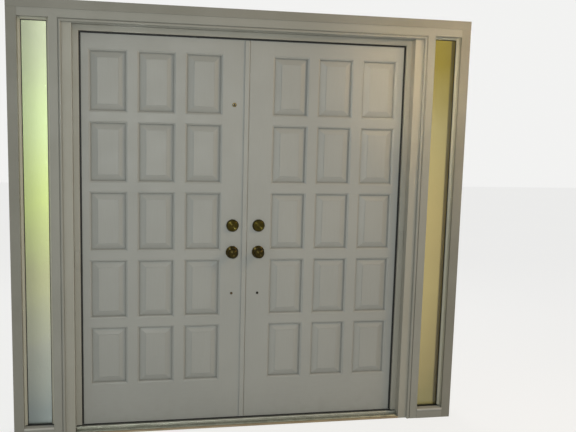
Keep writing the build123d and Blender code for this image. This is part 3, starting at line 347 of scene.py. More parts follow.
@dataclass(frozen=True)
class BrushedPaint:
    """Semi-gloss oil paint laid on wood with a brush, a little soiled in its grooves, which are also darkened
    with painted shade.
    """

    name: str
    strokes: Stroke
    turn_above: float | None = None
    colour: Colour = (0.315, 0.314, 0.290)
    soil_and_shade: Colour = (0.180, 0.172, 0.140)
    thin: Colour = (0.430, 0.428, 0.392)
    groove_dust_and_shade: float = 0.14
    groove_reach: float = 0.009
    scuff_top: float = 0.26
    hand_marks: float = 0.0
    hand_centre: Point = (0.0, 0.0, 0.543)
    hand_oval: Point = (1.0, 0.0, 0.55)
    bristle_scale: float = 330.0
    stroke_depth: float = 0.00022
    stipple_scale: float = 850.0
    stipple_depth: float = 0.00006
    gloss_roughness: float = 0.50
    varnish: float = 0.0
    varnish_roughness: float = 0.14
    edge_radius: float = 0.0009

    def build(self) -> Material:
        """Make the material, its brush marks turned along X above the height where the grain turns.

        Returns:
            The painted finish.
        """
        graph = ShaderGraph(self.name)
        marks = graph.noise(self.bristle_scale, 4.0, self.strokes.value)
        if self.turn_above is not None:
            level = graph.noise(self.bristle_scale, 4.0, Stroke.ALONG_X.value)
            above = graph.maths("GREATER_THAN", graph.axis("Z"), self.turn_above)
            marks = graph.outcome("ShaderNodeMix", {0: above, 2: marks, 3: level})
        rounded, worn = graph.worn_edges(self.edge_radius)
        settled = graph.patches(34.0, 3.0, (0.2, 0.75), (0.45, 1.0))
        # Painted shade: grooves and corners darkened by ambient occlusion, broken up by patches of settled
        # dust.
        dust = graph.times(graph.recess(self.groove_reach), settled)
        foot = graph.span(graph.axis("Z"), (self.scuff_top, 0.0), (0.0, 0.14))
        coats = [
            (graph.patches(2.3, 4.0, (0.3, 0.7), (0.0, 0.12)), self.thin),
            (graph.span(marks, (0.35, 0.65), (0.0, 0.05)), self.soil_and_shade),
            (graph.times(dust, self.groove_dust_and_shade), self.soil_and_shade),
            (graph.times(foot, graph.patches(19.0, 5.0, (0.42, 0.68), (0.2, 1.0))), self.soil_and_shade),
        ]
        if self.hand_marks:
            ends = {0: graph.stretched(self.hand_oval), 1: self.hand_centre}
            away = graph.outcome("ShaderNodeVectorMath", ends, operation="DISTANCE")
            near = graph.span(away, (0.22, 0.05), (0.0, self.hand_marks))
            coats.append((graph.times(near, graph.patches(26.0, 3.0, (0.35, 0.7), (0.2, 1.0))), self.soil_and_shade))
        coats.append((graph.times(worn, graph.patches(60.0, 3.0, (0.4, 0.7), (0.1, 0.45))), self.thin))
        gloss = (self.gloss_roughness - 0.06, self.gloss_roughness + 0.10)
        strokes = graph.bump(marks, self.stroke_depth, 0.55, rounded)
        stipple = graph.noise(self.stipple_scale, 2.0)
        return graph.surface(
            Base_Color=graph.layered(self.colour, *coats),
            Roughness=graph.patches(7.0, 5.0, (0.25, 0.75), gloss),
            Normal=graph.bump(stipple, self.stipple_depth, 0.35, strokes),
            IOR=1.45,
            Coat_Weight=self.varnish,
            Coat_Roughness=self.varnish_roughness,
        )


@dataclass(frozen=True)
class TurnedBrass:
    """Polished brass turned on a lathe, darkened with age and further as a painted reflection of a dark room.
    """

    name: str
    centre: Point
    # The near-black colours are partly aged brass and partly a painted reflection of a dark room.
    colour: Colour = (0.040, 0.030, 0.009)
    tarnish: Colour = (0.012, 0.008, 0.004)
    polish: Colour = (0.42, 0.34, 0.15)
    roughness: float = 0.28
    ring_scale: float = 2600.0
    ring_depth: float = 0.00002
    corner_tarnish: float = 0.8
    edge_polish: float = 0.7
    corner_reach: float = 0.006
    edge_radius: float = 0.0005

    def build(self) -> Material:
        """Make the material, with fine turning rings round the lathe axis.

        Returns:
            The brass finish.
        """
        graph = ShaderGraph(self.name)
        ends = {0: graph.stretched((1.0, 0.0, 1.0)), 1: (self.centre[0], 0.0, self.centre[2])}
        arm = graph.outcome("ShaderNodeVectorMath", ends, operation="SUBTRACT")
        length = graph.outcome("ShaderNodeVectorMath", {0: arm}, operation="LENGTH")
        inputs = {"W": length, "Scale": self.ring_scale}
        rings = graph.outcome("ShaderNodeTexNoise", inputs, noise_dimensions="1D")
        spoke = graph.outcome("ShaderNodeVectorMath", {0: arm}, operation="NORMALIZE")
        rounded, worn = graph.worn_edges(self.edge_radius)
        colour = graph.layered(
            self.colour,
            (graph.patches(120.0, 5.0, (0.5, 0.75), (0.0, 0.6)), self.tarnish),
            (graph.times(graph.recess(self.corner_reach), self.corner_tarnish), self.tarnish),
            (graph.times(worn, self.edge_polish), self.polish),
        )
        return graph.surface(
            Base_Color=colour,
            Roughness=graph.patches(75.0, 4.0, (0.4, 0.8), (self.roughness, self.roughness + 0.08)),
            Tangent=spoke,
            Normal=graph.bump(rings, self.ring_depth, 0.35, rounded),
            Metallic=1.0,
            Anisotropic=1.0,
        )


@dataclass(frozen=True)
class WroughtMetal:
    """Plain metal with polishing lines, small scratches and brighter worn edges."""

    name: str
    strokes: Stroke
    metal: Metal
    roughness: float = 0.3
    metallic: float = 1.0
    line_scale: float = 900.0
    line_depth: float = 0.00004
    corner_dullness: float = 0.6
    corner_reach: float = 0.008
    edge_radius: float = 0.0008
    rubbed_and_highlit_low: float | None = None
    rubbed_and_highlit_back: float = 0.0

    def build(self) -> Material:
        """Make the material, rubbed bright by shoes and lightened with a painted highlight above a height and
        behind a line where they are given.

        Returns:
            The metal finish.
        """
        graph = ShaderGraph(self.name)
        lines = graph.noise(self.line_scale, 3.0, self.strokes.value)
        rounded, worn = graph.worn_edges(self.edge_radius)
        main, dull, bright = self.metal.value
        coats = [(graph.patches(24.0, 6.0, (0.35, 0.7), (0.0, 0.75)), dull)]
        # Wear by shoes and a painted highlight: the bright band along the back of the tread.
        if self.rubbed_and_highlit_low is not None:
            high = graph.span(graph.axis("Z"), (self.rubbed_and_highlit_low - 0.001, self.rubbed_and_highlit_low), (0.0, 0.9))
            line = (self.rubbed_and_highlit_back - 0.006, self.rubbed_and_highlit_back + 0.002)
            rubbed_and_highlit = graph.times(high, graph.span(graph.axis("Y"), line, (0.0, 1.0)))
            broken = graph.patches(30.0, 5.0, (0.25, 0.6), (0.6, 1.0))
            coats.append((graph.times(rubbed_and_highlit, broken), bright))
        coats.append((graph.span(lines, (0.55, 0.75), (0.0, 0.3)), bright))
        coats.append((graph.times(graph.recess(self.corner_reach), self.corner_dullness), dull))
        return graph.surface(
            Base_Color=graph.layered(main, *coats, (worn, bright)),
            Roughness=graph.patches(40.0, 5.0, (0.3, 0.75), (self.roughness, self.roughness + 0.2)),
            Normal=graph.bump(lines, self.line_depth, 0.4, rounded),
            Metallic=self.metallic,
        )


@dataclass(frozen=True)
class SealRubber:
    """Extruded black rubber, matt, with chalky dust and faint draw lines."""

    name: str
    strokes: Stroke
    colour: Colour = (0.0062, 0.0066, 0.0062)
    chalk: Colour = (0.030, 0.031, 0.028)
    line_scale: float = 700.0
    line_depth: float = 0.00005

    def build(self) -> Material:
        """Make the material.

        Returns:
            The rubber finish.
        """
        graph = ShaderGraph(self.name)
        lines = graph.noise(self.line_scale, 3.0, self.strokes.value)
        dust = graph.patches(45.0, 5.0, (0.45, 0.75), (0.0, 0.5))
        return graph.surface(
            Base_Color=graph.layered(self.colour, (dust, self.chalk)),
            Roughness=graph.span(dust, (0.0, 0.5), (0.55, 0.8)),
            Normal=graph.bump(lines, self.line_depth, 0.4),
            Specular_IOR_Level=0.3,
        )


@dataclass(frozen=True)
class ObscureGlass:
    """Satin glass whose colour is painted light: the daylight and greenery seen through it, stronger in the
    middle than at the sill.
    """

    name: str
    levels: tuple[tuple[float, Colour], ...]
    heights: Span
    sides: Span
    side_painted_light: Span
    drift: float = 0.22
    ripple_scale: float = 420.0
    ripple_depth: float = 0.0003

    def build(self) -> Material:
        """Make the material, with a fine rolled pattern in its face.

        Returns:
            The glass finish.
        """
        graph = ShaderGraph(self.name)
        drift = graph.maths("SUBTRACT", graph.times(graph.noise(5.0), self.drift), self.drift / 2)
        height = graph.maths("ADD", graph.axis("Z"), drift)
        share = graph.span(height, self.heights, (0.0, 1.0), smooth=False)
        ramp = graph.node("ShaderNodeValToRGB", {"Fac": share})
        points = ramp.color_ramp.elements
        while len(points) < len(self.levels):
            points.new(0.5)
        for point, (place, colour) in zip(points, self.levels, strict=True):
            point.position = place
            point.color = (*colour, 1.0)
        # Painted light: the pane's brightness scaled from one side to the other.
        across = graph.span(graph.axis("X"), self.sides, self.side_painted_light)
        inputs = {0: ramp.outputs["Color"], "Scale": across}
        return graph.surface(
            Base_Color=graph.outcome("ShaderNodeVectorMath", inputs, operation="SCALE"),
            Normal=graph.bump(graph.noise(self.ripple_scale, 2.0), self.ripple_depth, 0.35),
            Roughness=graph.patches(30.0, 3.0, (0.3, 0.7), (0.13, 0.20)),
            Transmission_Weight=1.0,
            IOR=1.5,
        )


@dataclass(frozen=True)
class VarnishedOak:
    """Oak strip with open grain along X under a worn varnish."""

    name: str
    colour: Colour = (0.300, 0.240, 0.145)
    pores: Colour = (0.120, 0.080, 0.040)
    bare: Colour = (0.40, 0.33, 0.22)
    pore_stretch: Point = (0.012, 1.0, 1.0)
    pore_depth: float = 0.00015
    edge_bareness: float = 0.5
    edge_radius: float = 0.001

    def build(self) -> Material:
        """Make the material.

        Returns:
            The oak finish.
        """
        graph = ShaderGraph(self.name)
        grain = graph.noise(160.0, 6.0, Stroke.ALONG_X.value)
        pores = graph.span(graph.noise(900.0, 3.0, self.pore_stretch), (0.55, 0.7), (0.0, 0.7))
        rounded, worn = graph.worn_edges(self.edge_radius)
        colour = graph.layered(
            self.colour,
            (graph.span(grain, (0.3, 0.7), (0.0, 0.55)), self.pores),
            (pores, self.pores),
            (graph.times(worn, self.edge_bareness), self.bare),
        )
        return graph.surface(
            Base_Color=colour,
            Roughness=graph.patches(11.0, 5.0, (0.3, 0.7), (0.32, 0.58)),
            Normal=graph.bump(pores, self.pore_depth, 0.5, rounded),
        )


@dataclass(frozen=True)
class ViewerGlass:
    """Small dark lens of a door viewer, with a polished face."""

    name: str = "viewer_glass"
    colour: Colour = (0.006, 0.007, 0.008)
    dust: Colour = (0.08, 0.08, 0.07)

    def build(self) -> Material:
        """Make the material.

        Returns:
            The lens finish.
        """
        graph = ShaderGraph(self.name)
        specks = graph.patches(700.0, 4.0, (0.5, 0.75), (0.0, 0.25))
        return graph.surface(
            Base_Color=graph.layered(self.colour, (specks, self.dust)),
            Roughness=graph.span(specks, (0.0, 0.25), (0.03, 0.2)),
            IOR=1.52,
            Coat_Weight=1.0,
            Coat_Roughness=0.02,
        )


# Helpers for pieces


@dataclass(frozen=True)
class Spot:
    """A place on a surface where a fixing sits, and the direction that its head faces."""

    place: Point
    facing: Point


def link_object(name: str, mesh: bpy.types.Mesh) -> Piece:
    """Put a mesh in the scene as an object at the origin.

    Args:
        name: Name of the object.
        mesh: Its mesh, with its place in its points.

    Returns:
        The object.
    """
    made = bpy.data.objects.new(name, mesh)
    bpy.context.scene.collection.objects.link(made)
    return made


def install(piece: Piece, body: str) -> None:
    """Let a finished piece move with a body.

    Args:
        piece: Finished piece.
        body: Body that it moves with.
    """
    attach(piece, body)
    log.info("%s: %d faces, on %s", piece.name, len(piece.data.polygons), body)


def dress(nodes: Iterable[str], material: Material) -> None:
    """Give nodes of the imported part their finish.

    Args:
        nodes: Names of the nodes.
        material: Finish for every slot of them.
    """
    for name in nodes:
        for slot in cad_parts[name].material_slots:
            slot.material = material
        log.info("%s: %s", name, material.name)


def ringed_piece(
    name: str, rings: Iterable[Iterable[Sequence[float]]], sharp_angle: float, material: Material
) -> Piece:
    """A closed piece skinned over rings of points, smooth but for its sharp edges.

    Args:
        name: Name of the object.
        rings: Rings of points from one end to the other. A ring of one point is a pole.
        sharp_angle: Angle in radians above which an edge stays sharp.
        material: Finish.

    Returns:
        The piece, its faces pointing outwards.
    """
    shape = bmesh.new()
    loops = [[shape.verts.new(point) for point in ring] for ring in rings]
    for lower, upper in zip(loops, loops[1:]):
        for step in range(max(len(lower), len(upper))):
            along = [lower[(step + ahead) % len(lower)] for ahead in (0, 1)]
            back = [upper[(step + ahead) % len(upper)] for ahead in (1, 0)]
            shape.faces.new(list(dict.fromkeys(along + back)))
    for end in (loops[0], loops[-1]):
        if len(end) > 1:
            shape.faces.new(end)
    bmesh.ops.recalc_face_normals(shape, faces=shape.faces)
    mesh = bpy.data.meshes.new(name)
    shape.to_mesh(mesh)
    shape.free()
    mesh.materials.append(material)
    mesh.shade_smooth()
    mesh.set_sharp_from_angle(angle=sharp_angle)
    return link_object(name, mesh)


def turned_piece(name: str, foot: Point, axis: Point, profile: Sequence[Span], material: Material) -> Piece:
    """A closed piece turned round an axis.

    Args:
        name: Name of the object.
        foot: Point on the axis at height 0.
        axis: Unit direction of the axis.
        profile: Radius and height from one pole to the other, both poles at radius 0.
        material: Finish.

    Returns:
        The turned piece.
    """
    turn = Vector(axis).to_track_quat("Z", "Y").to_matrix()
    rings = []
    for radius, height in profile:
        angles = [math.tau * step / TURNING_STEPS for step in range(TURNING_STEPS if radius > 0.0 else 1)]
        points = [Vector((radius * math.cos(angle), radius * math.sin(angle), height)) for angle in angles]
        rings.append([Vector(foot) + turn @ point for point in points])
    return ringed_piece(name, rings, TURNED_SHARP, material)


# Geometry Nodes trees


class GrowthTree(NodeKit):
    """Start of a Geometry Nodes tree with named inputs for its sizes."""

    seed = 7

    def __init__(self, name: str, sizes: dict[str, float]) -> None:
        """Make the tree with a geometry input, its sizes, a seed and a finish.

        Args:
            name: Name of the tree.
            sizes: Named sizes in metres and their usual values.
        """
        super().__init__(bpy.data.node_groups.new(name, "GeometryNodeTree"))
        usual = {**sizes, "Seed": self.seed}
        kinds = {"Geometry": "Geometry", **dict.fromkeys(sizes, "Float"), "Seed": "Int", "Finish": "Material"}
        self.keys: dict[str, str] = {}
        for label, kind in kinds.items():
            made = self.tree.interface.new_socket(label, in_out="INPUT", socket_type=f"NodeSocket{kind}")
            if label in usual:
                made.default_value = usual[label]
            self.keys[label] = made.identifier
        self.tree.interface.new_socket("Geometry", in_out="OUTPUT", socket_type="NodeSocketGeometry")
        self.start = self.node("NodeGroupInput").outputs

    def vector(self, *numbers: object) -> Socket:
        """Three numbers as a vector.

        Args:
            numbers: Sockets or numbers for X, Y and Z.

        Returns:
            The vector.
        """
        return self.outcome("ShaderNodeCombineXYZ", dict(enumerate(numbers)))

    def moved(
        self, geometry: Socket, place: object = ORIGIN, turn: Point = ORIGIN, scale: object = FULL_SIZE
    ) -> Socket:
        """Geometry moved, turned and scaled.

        Args:
            geometry: Geometry to move.
            place: Translation.
            turn: Rotation in radians.
            scale: Scale along each axis.

        Returns:
            The moved geometry.
        """
        inputs = {"Geometry": geometry, "Translation": place, "Rotation": turn, "Scale": scale}
        return self.outcome("GeometryNodeTransform", inputs)

    def close(self, instance: Socket, rotation: Socket | None = None) -> None:
        """Set the instance on every point, make it real, and end the tree.

        Args:
            instance: Shape to repeat.
            rotation: Rotation of each instance, or None.
        """
        inputs = {"Points": self.start["Geometry"], "Instance": instance}
        if rotation:
            inputs["Rotation"] = rotation
        placed = self.outcome("GeometryNodeInstanceOnPoints", inputs)
        real = self.outcome("GeometryNodeRealizeInstances", {"Geometry": placed})
        inputs = {"Geometry": real, "Material": self.start["Finish"]}
        self.node("NodeGroupOutput", {"Geometry": self.outcome("GeometryNodeSetMaterial", inputs)})

    def grow(
        self,
        name: str,
        spots: Sequence[Spot],
        sizes: dict[str, float],
        finish: Material,
        body: str,
        slot: str,
    ) -> None:
        """Run the tree on a set of spots, and install what it makes as a plain mesh.

        Args:
            name: Name of the finished piece.
            spots: Places and directions.
            sizes: Named sizes that differ from the usual ones.
            finish: Material of the piece.
            body: Body that it moves with.
            slot: Material slot of the record; not used.
        """
        mesh = bpy.data.meshes.new(f"{name}_spots")
        mesh.from_pydata([spot.place for spot in spots], [], [])
        facing = mesh.attributes.new("facing", "FLOAT_VECTOR", "POINT")
        for index, spot in enumerate(spots):
            facing.data[index].vector = spot.facing
        source = link_object(mesh.name, mesh)
        modifier = source.modifiers.new("growth", "NODES")
        modifier.node_group = self.tree
        for label, value in {**sizes, "Finish": finish}.items():
            modifier[self.keys[label]] = value
        depsgraph = bpy.context.evaluated_depsgraph_get()
        grown = bpy.data.meshes.new_from_object(source.evaluated_get(depsgraph))
        grown.name = name
        bpy.data.objects.remove(source)
        install(link_object(name, grown), body)


class FixingTree(GrowthTree):
    """Tree that sets a screw head or a small dome on every spot."""

    dome_steps = 16
    screw_steps = 24
    face_share = 0.62
    slot_reach = 1.05
    skirt_heights = 4.0
    skirt_sink = -0.499
    slot_double = 2.0
    crossbar_extra = 1.02

    def __init__(self, kind: Fixing) -> None:
        """Make the tree of one kind of fixing.

        Args:
            kind: Screw with a cross recess, or plain dome.
        """
        sizes = {"Radius": 0.0035, "Height": 0.0004, "Slot Width": 0.0009, "Slot Depth": 0.0006}
        super().__init__(f"{kind.value}_tree", sizes)
        head = self.dome_head() if kind is Fixing.DOME else self.cross_head()
        inputs = {"Name": "facing"}
        facing = self.outcome("GeometryNodeInputNamedAttribute", inputs, data_type="FLOAT_VECTOR")
        aim = self.outcome("FunctionNodeAlignRotationToVector", {"Vector": facing}, axis="Z")
        draw = {2: 0.0, 3: math.pi, "Seed": self.start["Seed"]}
        chance = self.outcome("FunctionNodeRandomValue", draw, data_type="FLOAT")
        turns = {"Rotation": aim, "Rotate By": self.vector(0.0, 0.0, chance)}
        self.close(head, self.outcome("FunctionNodeRotateRotation", turns, rotation_space="LOCAL"))

    def dome_head(self) -> Socket:
        """Low smooth dome.

        Returns:
            The dome, half sunk at height 0.
        """
        radius = self.start["Radius"]
        inputs = {"Segments": self.dome_steps, "Rings": self.dome_steps // 2, "Radius": radius}
        ball = self.outcome("GeometryNodeMeshUVSphere", inputs)
        flatness = self.maths("DIVIDE", self.start["Height"], radius)
        head = self.moved(ball, scale=self.vector(1.0, 1.0, flatness))
        return self.outcome("GeometryNodeSetShadeSmooth", {"Geometry": head})

    def cross_head(self) -> Socket:
        """Low coned head with a cross recess.

        Returns:
            The head, its rim at height 0 and its face at the named height.
        """
        radius, height, width = (self.start[label] for label in ("Radius", "Height", "Slot Width"))
        skirt = self.times(height, self.skirt_heights)
        face = self.times(radius, self.face_share)
        inputs = {"Vertices": self.screw_steps, "Radius Top": face, "Radius Bottom": radius, "Depth": height}
        cone = self.outcome("GeometryNodeMeshCone", inputs)
        inputs = {"Vertices": self.screw_steps, "Radius": radius, "Depth": skirt}
        low = self.outcome("GeometryNodeMeshCylinder", inputs)
        sunk = self.moved(low, self.vector(0.0, 0.0, self.times(skirt, self.skirt_sink)))
        body = self.node("GeometryNodeMeshBoolean", {"Mesh 2": sunk}, operation="UNION", solver="EXACT")
        self.feed(body.inputs["Mesh 2"], cone)
        reach = self.times(radius, self.slot_reach)
        depth = self.times(self.start["Slot Depth"], self.slot_double)
        bar = self.outcome("GeometryNodeMeshCube", {"Size": self.vector(reach, width, depth)})
        deeper = self.times(depth, self.crossbar_extra)
        crossbar = self.outcome("GeometryNodeMeshCube", {"Size": self.vector(width, reach, deeper)})
        both = self.node("GeometryNodeJoinGeometry", {0: bar})
        self.feed(both.inputs[0], crossbar)
        lifted = self.moved(both.outputs[0], self.vector(0.0, 0.0, height))
        inputs = {"Mesh 1": body.outputs["Mesh"], "Mesh 2": lifted, "Self Intersection": True}
        return self.outcome("GeometryNodeMeshBoolean", inputs, operation="DIFFERENCE", solver="EXACT")


class RibTree(GrowthTree):
    """Tree that lays a half-round rib along X through every spot."""

    rib_steps = 12

    def __init__(self) -> None:
        """Make the tree."""
        super().__init__("rib_tree", {"Length": 1.0, "Width": 0.002, "Height": 0.0004})
        width = self.start["Width"]
        inputs = {"Vertices": self.rib_steps, "Radius": self.times(width, 0.5), "Depth": self.start["Length"]}
        bar = self.outcome("GeometryNodeMeshCylinder", inputs)
        flatness = self.maths("DIVIDE", self.times(self.start["Height"], 2.0), width)
        laid = self.moved(bar, turn=(0.0, math.pi / 2, 0.0))
        self.close(self.moved(laid, scale=self.vector(1.0, 1.0, flatness)))


# Sub-assemblies


@dataclass
class FrameWoodwork:
    """Painted jambs, casings, stops and mouldings of the fixed frame, in lit and shaded copies of one paint:
    painted light and painted shade.
    """

    # One paint in lit and shaded copies: the base colour is painted shade against the leaves' paint, the
    # outer casing is darker as painted shade, and the reveals, stops and sill are lighter as painted light.
    colour: Colour = (0.222, 0.221, 0.190)
    shaded_outer_colour: Colour = (0.170, 0.166, 0.136)
    lit_reveal_colour: Colour = (0.410, 0.400, 0.318)
    lit_stop_colour: Colour = (0.280, 0.272, 0.228)
    lit_sill_colour: Colour = (0.380, 0.380, 0.345)
    hard_varnish: float = 0.2
    thin_varnish: float = 0.15
    head_board_low: float = 2.1093
    stop_turn: float = 2.035
    mould_turn: float = 2.108
    glazing_turn: float = 2.0575
    plate_faces: tuple[Point, ...] = ((-0.84625, -0.026, 0.8965), (0.84625, -0.026, 0.987))
    plate_screw_rise: float = 0.031

    def dress(self) -> None:
        """Paint the woodwork, each board brushed along its grain."""
        hard, thin = self.hard_varnish, self.thin_varnish
        uprights = ("mullions", "door_casing_left", "door_casing_right", "mull_covers")
        levels = ("head_jamb", "door_casing_head", "sidelight_heads", "sidelight_trims")
        inners = ("hinge_jamb_left", "hinge_jamb_right", "contact_plates")
        for label, strokes, turn, colour, varnish, nodes in (
            ("upright", Stroke.ALONG_Z, None, self.colour, hard, uprights),
            ("level", Stroke.ALONG_X, None, self.colour, thin, levels),
            ("reveal", Stroke.ALONG_Z, None, self.lit_reveal_colour, 0.0, ("outer_jambs",)),
            ("inner", Stroke.ALONG_Z, None, self.lit_stop_colour, hard, inners),
            ("outer_casing", Stroke.ALONG_Z, self.head_board_low, self.shaded_outer_colour, thin, None),
            ("door_stops", Stroke.ALONG_Z, self.stop_turn, self.lit_stop_colour, hard, None),
            ("brickmould", Stroke.ALONG_Z, self.mould_turn, self.colour, thin, None),
            ("glazing_stops", Stroke.ALONG_Z, self.glazing_turn, self.lit_reveal_colour, thin, None),
        ):
            paint = BrushedPaint(f"frame_paint_{label}", strokes, turn, colour, varnish=varnish)
            dress(nodes or (label,), paint.build())
        sill = BrushedPaint(
            "frame_paint_sill", Stroke.ALONG_X, colour=self.lit_sill_colour, groove_dust_and_shade=0.2, edge_radius=0.0016
        )
        dress(("sidelight_sills", "sidelight_stools"), sill.build())

    def build(self, domes: FixingTree) -> None:
        """Set the painted-over screws of the plates on the side stops.

        Args:
            domes: Tree for plain domed heads.
        """
        # The screw heads take the stops' lighter colour, which is painted light.
        paint = BrushedPaint("plate_screw_paint", Stroke.ALONG_Z, colour=self.lit_stop_colour).build()
        spots = [
            Spot((x, y, z + rise), INTO_ROOM)
            for x, y, z in self.plate_faces
            for rise in (-self.plate_screw_rise, self.plate_screw_rise)
        ]
        sizes = {"Radius": 0.0036, "Height": 0.0007}
        domes.grow("contact_plate_screws", spots, sizes, paint, "frame", "frame_paint")


@dataclass
class Sidelights:
    """Satin glass of the two sidelights with its black gaskets; the glass is tinted with painted light."""

    glass_heights: Span = (0.0423, 2.067)
    inner_edge: float = 0.975
    outer_edge: float = 1.095
    # Painted light: the daylight and greenery seen through each pane, and its brightness from side to side.
    left_side_painted_light: Span = (0.72, 1.18)
    right_side_painted_light: Span = (1.03, 0.90)
    left_painted_light_tints: tuple[tuple[float, Colour], ...] = (
        (0.03, (0.215, 0.250, 0.235)),
        (0.21, (0.360, 0.375, 0.300)),
        (0.38, (0.485, 0.505, 0.280)),
        (0.56, (0.680, 0.810, 0.300)),
        (0.77, (0.700, 0.850, 0.430)),
        (0.95, (0.590, 0.660, 0.430)),
    )
    right_painted_light_tints: tuple[tuple[float, Colour], ...] = (
        (0.03, (0.250, 0.215, 0.085)),
        (0.12, (0.325, 0.264, 0.107)),
        (0.32, (0.435, 0.352, 0.140)),
        (0.55, (0.510, 0.405, 0.155)),
        (0.77, (0.465, 0.385, 0.148)),
        (0.93, (0.320, 0.240, 0.018)),
    )

    def dress(self) -> None:
        """Give glass and gaskets their finish."""
        inner, outer = self.inner_edge, self.outer_edge
        for end, levels, sides, side_painted_light in (
            ("left", self.left_painted_light_tints, (-outer, -inner), self.left_side_painted_light),
            ("right", self.right_painted_light_tints, (inner, outer), self.right_side_painted_light),
        ):
            glass = ObscureGlass(f"{end}_satin_glass", levels, self.glass_heights, sides, side_painted_light)
            dress((f"sidelight_glass_{end}",), glass.build())
        dress(("glazing_gaskets",), SealRubber("gasket_rubber", Stroke.ALONG_Z).build())


@dataclass
class Threshold:
    """Aluminium threshold with ribbed treads, its bumper and the oak strip in front of it."""

    rib_length: float = 2 * 0.8485
    tread_height: float = 0.014
    tread_lines: tuple[float, ...] = (-0.054, -0.050, -0.046, -0.042, -0.038, -0.034, -0.030, -0.026)
    saddle_height: float = 0.009
    saddle_back: float = 0.0445
    saddle_lines: tuple[float, ...] = (0.0505, 0.0545, 0.0585)
    nose_slope: float = -0.1515
    rubbed_and_highlit_low: float = 0.0135
    rubbed_and_highlit_back: float = -0.030
    screw_row: float = 0.030
    screw_places: tuple[float, ...] = (-0.78, -0.47, -0.16, 0.16, 0.47, 0.78)

    def dress(self) -> None:
        """Give the metal, the seals and the oak their finish."""
        self.metal = WroughtMetal(
            "threshold_aluminium",
            Stroke.ALONG_X,
            Metal.THRESHOLD,
            metallic=0.55,
            rubbed_and_highlit_low=self.rubbed_and_highlit_low,
            rubbed_and_highlit_back=self.rubbed_and_highlit_back,
        ).build()
        dress(("threshold",), self.metal)
        dress(("threshold_bumper",), SealRubber("bumper_rubber", Stroke.ALONG_X).build())
        dress(("weatherstrips",), SealRubber("weatherstrip_rubber", Stroke.ALONG_Z).build())
        dress(("threshold_strip",), VarnishedOak("strip_oak").build())

    def build(self, ribs: RibTree, screws: FixingTree) -> None:
        """Lay the ribs on the treads and set the screws under the leaves.

        Args:
            ribs: Tree for the ribs.
            screws: Tree for the screw heads.
        """
        spots = [Spot((0.0, y, self.tread_height), UP) for y in self.tread_lines]
        for y in self.saddle_lines:
            drop = (y - self.saddle_back) * self.nose_slope
            spots.append(Spot((0.0, y, self.saddle_height + drop), UP))
        sizes = {"Length": self.rib_length, "Width": 0.0016, "Height": 0.00035}
        ribs.grow("threshold_ribs", spots, sizes, self.metal, "frame", "threshold_metal")
        steel = WroughtMetal("threshold_screw_steel", Stroke.ALONG_X, Metal.SCREW_STEEL).build()
        row = [Spot((x, self.screw_row, self.saddle_height), UP) for x in self.screw_places]
        sizes = {"Radius": 0.0045, "Height": 0.0007}
        screws.grow("threshold_screws", row, sizes, steel, "frame", "threshold_metal")


@dataclass
class Hinges:
    """Three butt hinges on each leaf, with their screws and the feet of their pins."""

    centres: tuple[float, ...] = (0.3429, 1.07315, 1.8034)
    jamb_face: float = 0.84965
    leaf_face: float = 0.84645
    axis: Span = (0.84805, 0.0515)
    half_height: float = 0.0508
    screw_rows: tuple[Span, ...] = ((0.0365, 0.0345), (0.0125, 0.0205), (-0.0125, 0.0205), (-0.0365, 0.0345))

    def plate_spots(self, side: Side, face: float, facing: float) -> list[Spot]:
        """Screw places of the three plates on one face.

        Args:
            side: Side of the doors.
            face: Distance of the face from the middle.
            facing: 1 where the plate faces away from the middle, -1 where it faces it.

        Returns:
            Four spots for each hinge.
        """
        return [
            Spot((side.value * face, y, centre + rise), (side.value * facing, 0.0, 0.0))
            for centre in self.centres
            for rise, y in self.screw_rows
        ]

    def dress(self) -> None:
        """Give the hinge halves and pins their brass."""
        self.metal = WroughtMetal("hinge_brass", Stroke.ALONG_Z, Metal.HINGE_BRASS, roughness=0.25).build()
        dress(("jamb_hinge_leaves", "left_hinge_leaves", "right_hinge_leaves", "hinge_pins"), self.metal)

    def build(self, screws: FixingTree, domes: FixingTree) -> None:
        """Set four screws in every plate and the button-shaped foot under every pin.

        Args:
            screws: Tree for the screw heads.
            domes: Tree for the buttons.
        """
        sizes = {"Radius": 0.0042, "Height": 0.00035}
        fixed = [spot for side in Side for spot in self.plate_spots(side, self.jamb_face, -1.0)]
        screws.grow("jamb_hinge_screws", fixed, sizes, self.metal, "frame", "hinge_brass")
        for side in Side:
            name = side.name.lower()
            spots = self.plate_spots(side, self.leaf_face, 1.0)
            screws.grow(f"{name}_hinge_screws", spots, sizes, self.metal, f"{name}_leaf", "hinge_brass")
        feet = [
            Spot((side.value * self.axis[0], self.axis[1], centre - self.half_height), DOWN)
            for side in Side
            for centre in self.centres
        ]
        sizes = {"Radius": 0.0045, "Height": 0.0022}
        domes.grow("hinge_pin_feet", feet, sizes, self.metal, "frame", "hinge_brass")


@dataclass
class DoorLeaf:
    """One painted leaf of stiles, rails, muntins and raised panels."""

    side: Side
    colour: Colour = (0.285, 0.292, 0.274)
    hand_marks: float = 0.06
    # The panels take more of the painted groove shade and dust than the rest of the leaf.
    panel_dust_and_shade: float = 0.2

    def dress(self) -> None:
        """Paint the leaf, each member brushed along its grain."""
        name, tone = self.side.name.lower(), self.colour
        upright = BrushedPaint(
            f"{name}_leaf_paint_upright", Stroke.ALONG_Z, colour=tone, hand_marks=self.hand_marks
        ).build()
        level = BrushedPaint(f"{name}_leaf_paint_level", Stroke.ALONG_X, colour=tone)
        panel = BrushedPaint(f"{name}_panel_paint", Stroke.ALONG_Z, colour=tone, groove_dust_and_shade=self.panel_dust_and_shade)
        dress((f"{name}_hinge_stile", f"{name}_lock_stile", f"{name}_muntins"), upright)
        dress((f"{name}_rails",), level.build())
        dress((f"{name}_panels",), panel.build())
        if self.side is Side.LEFT:
            dress(("astragal",), upright)


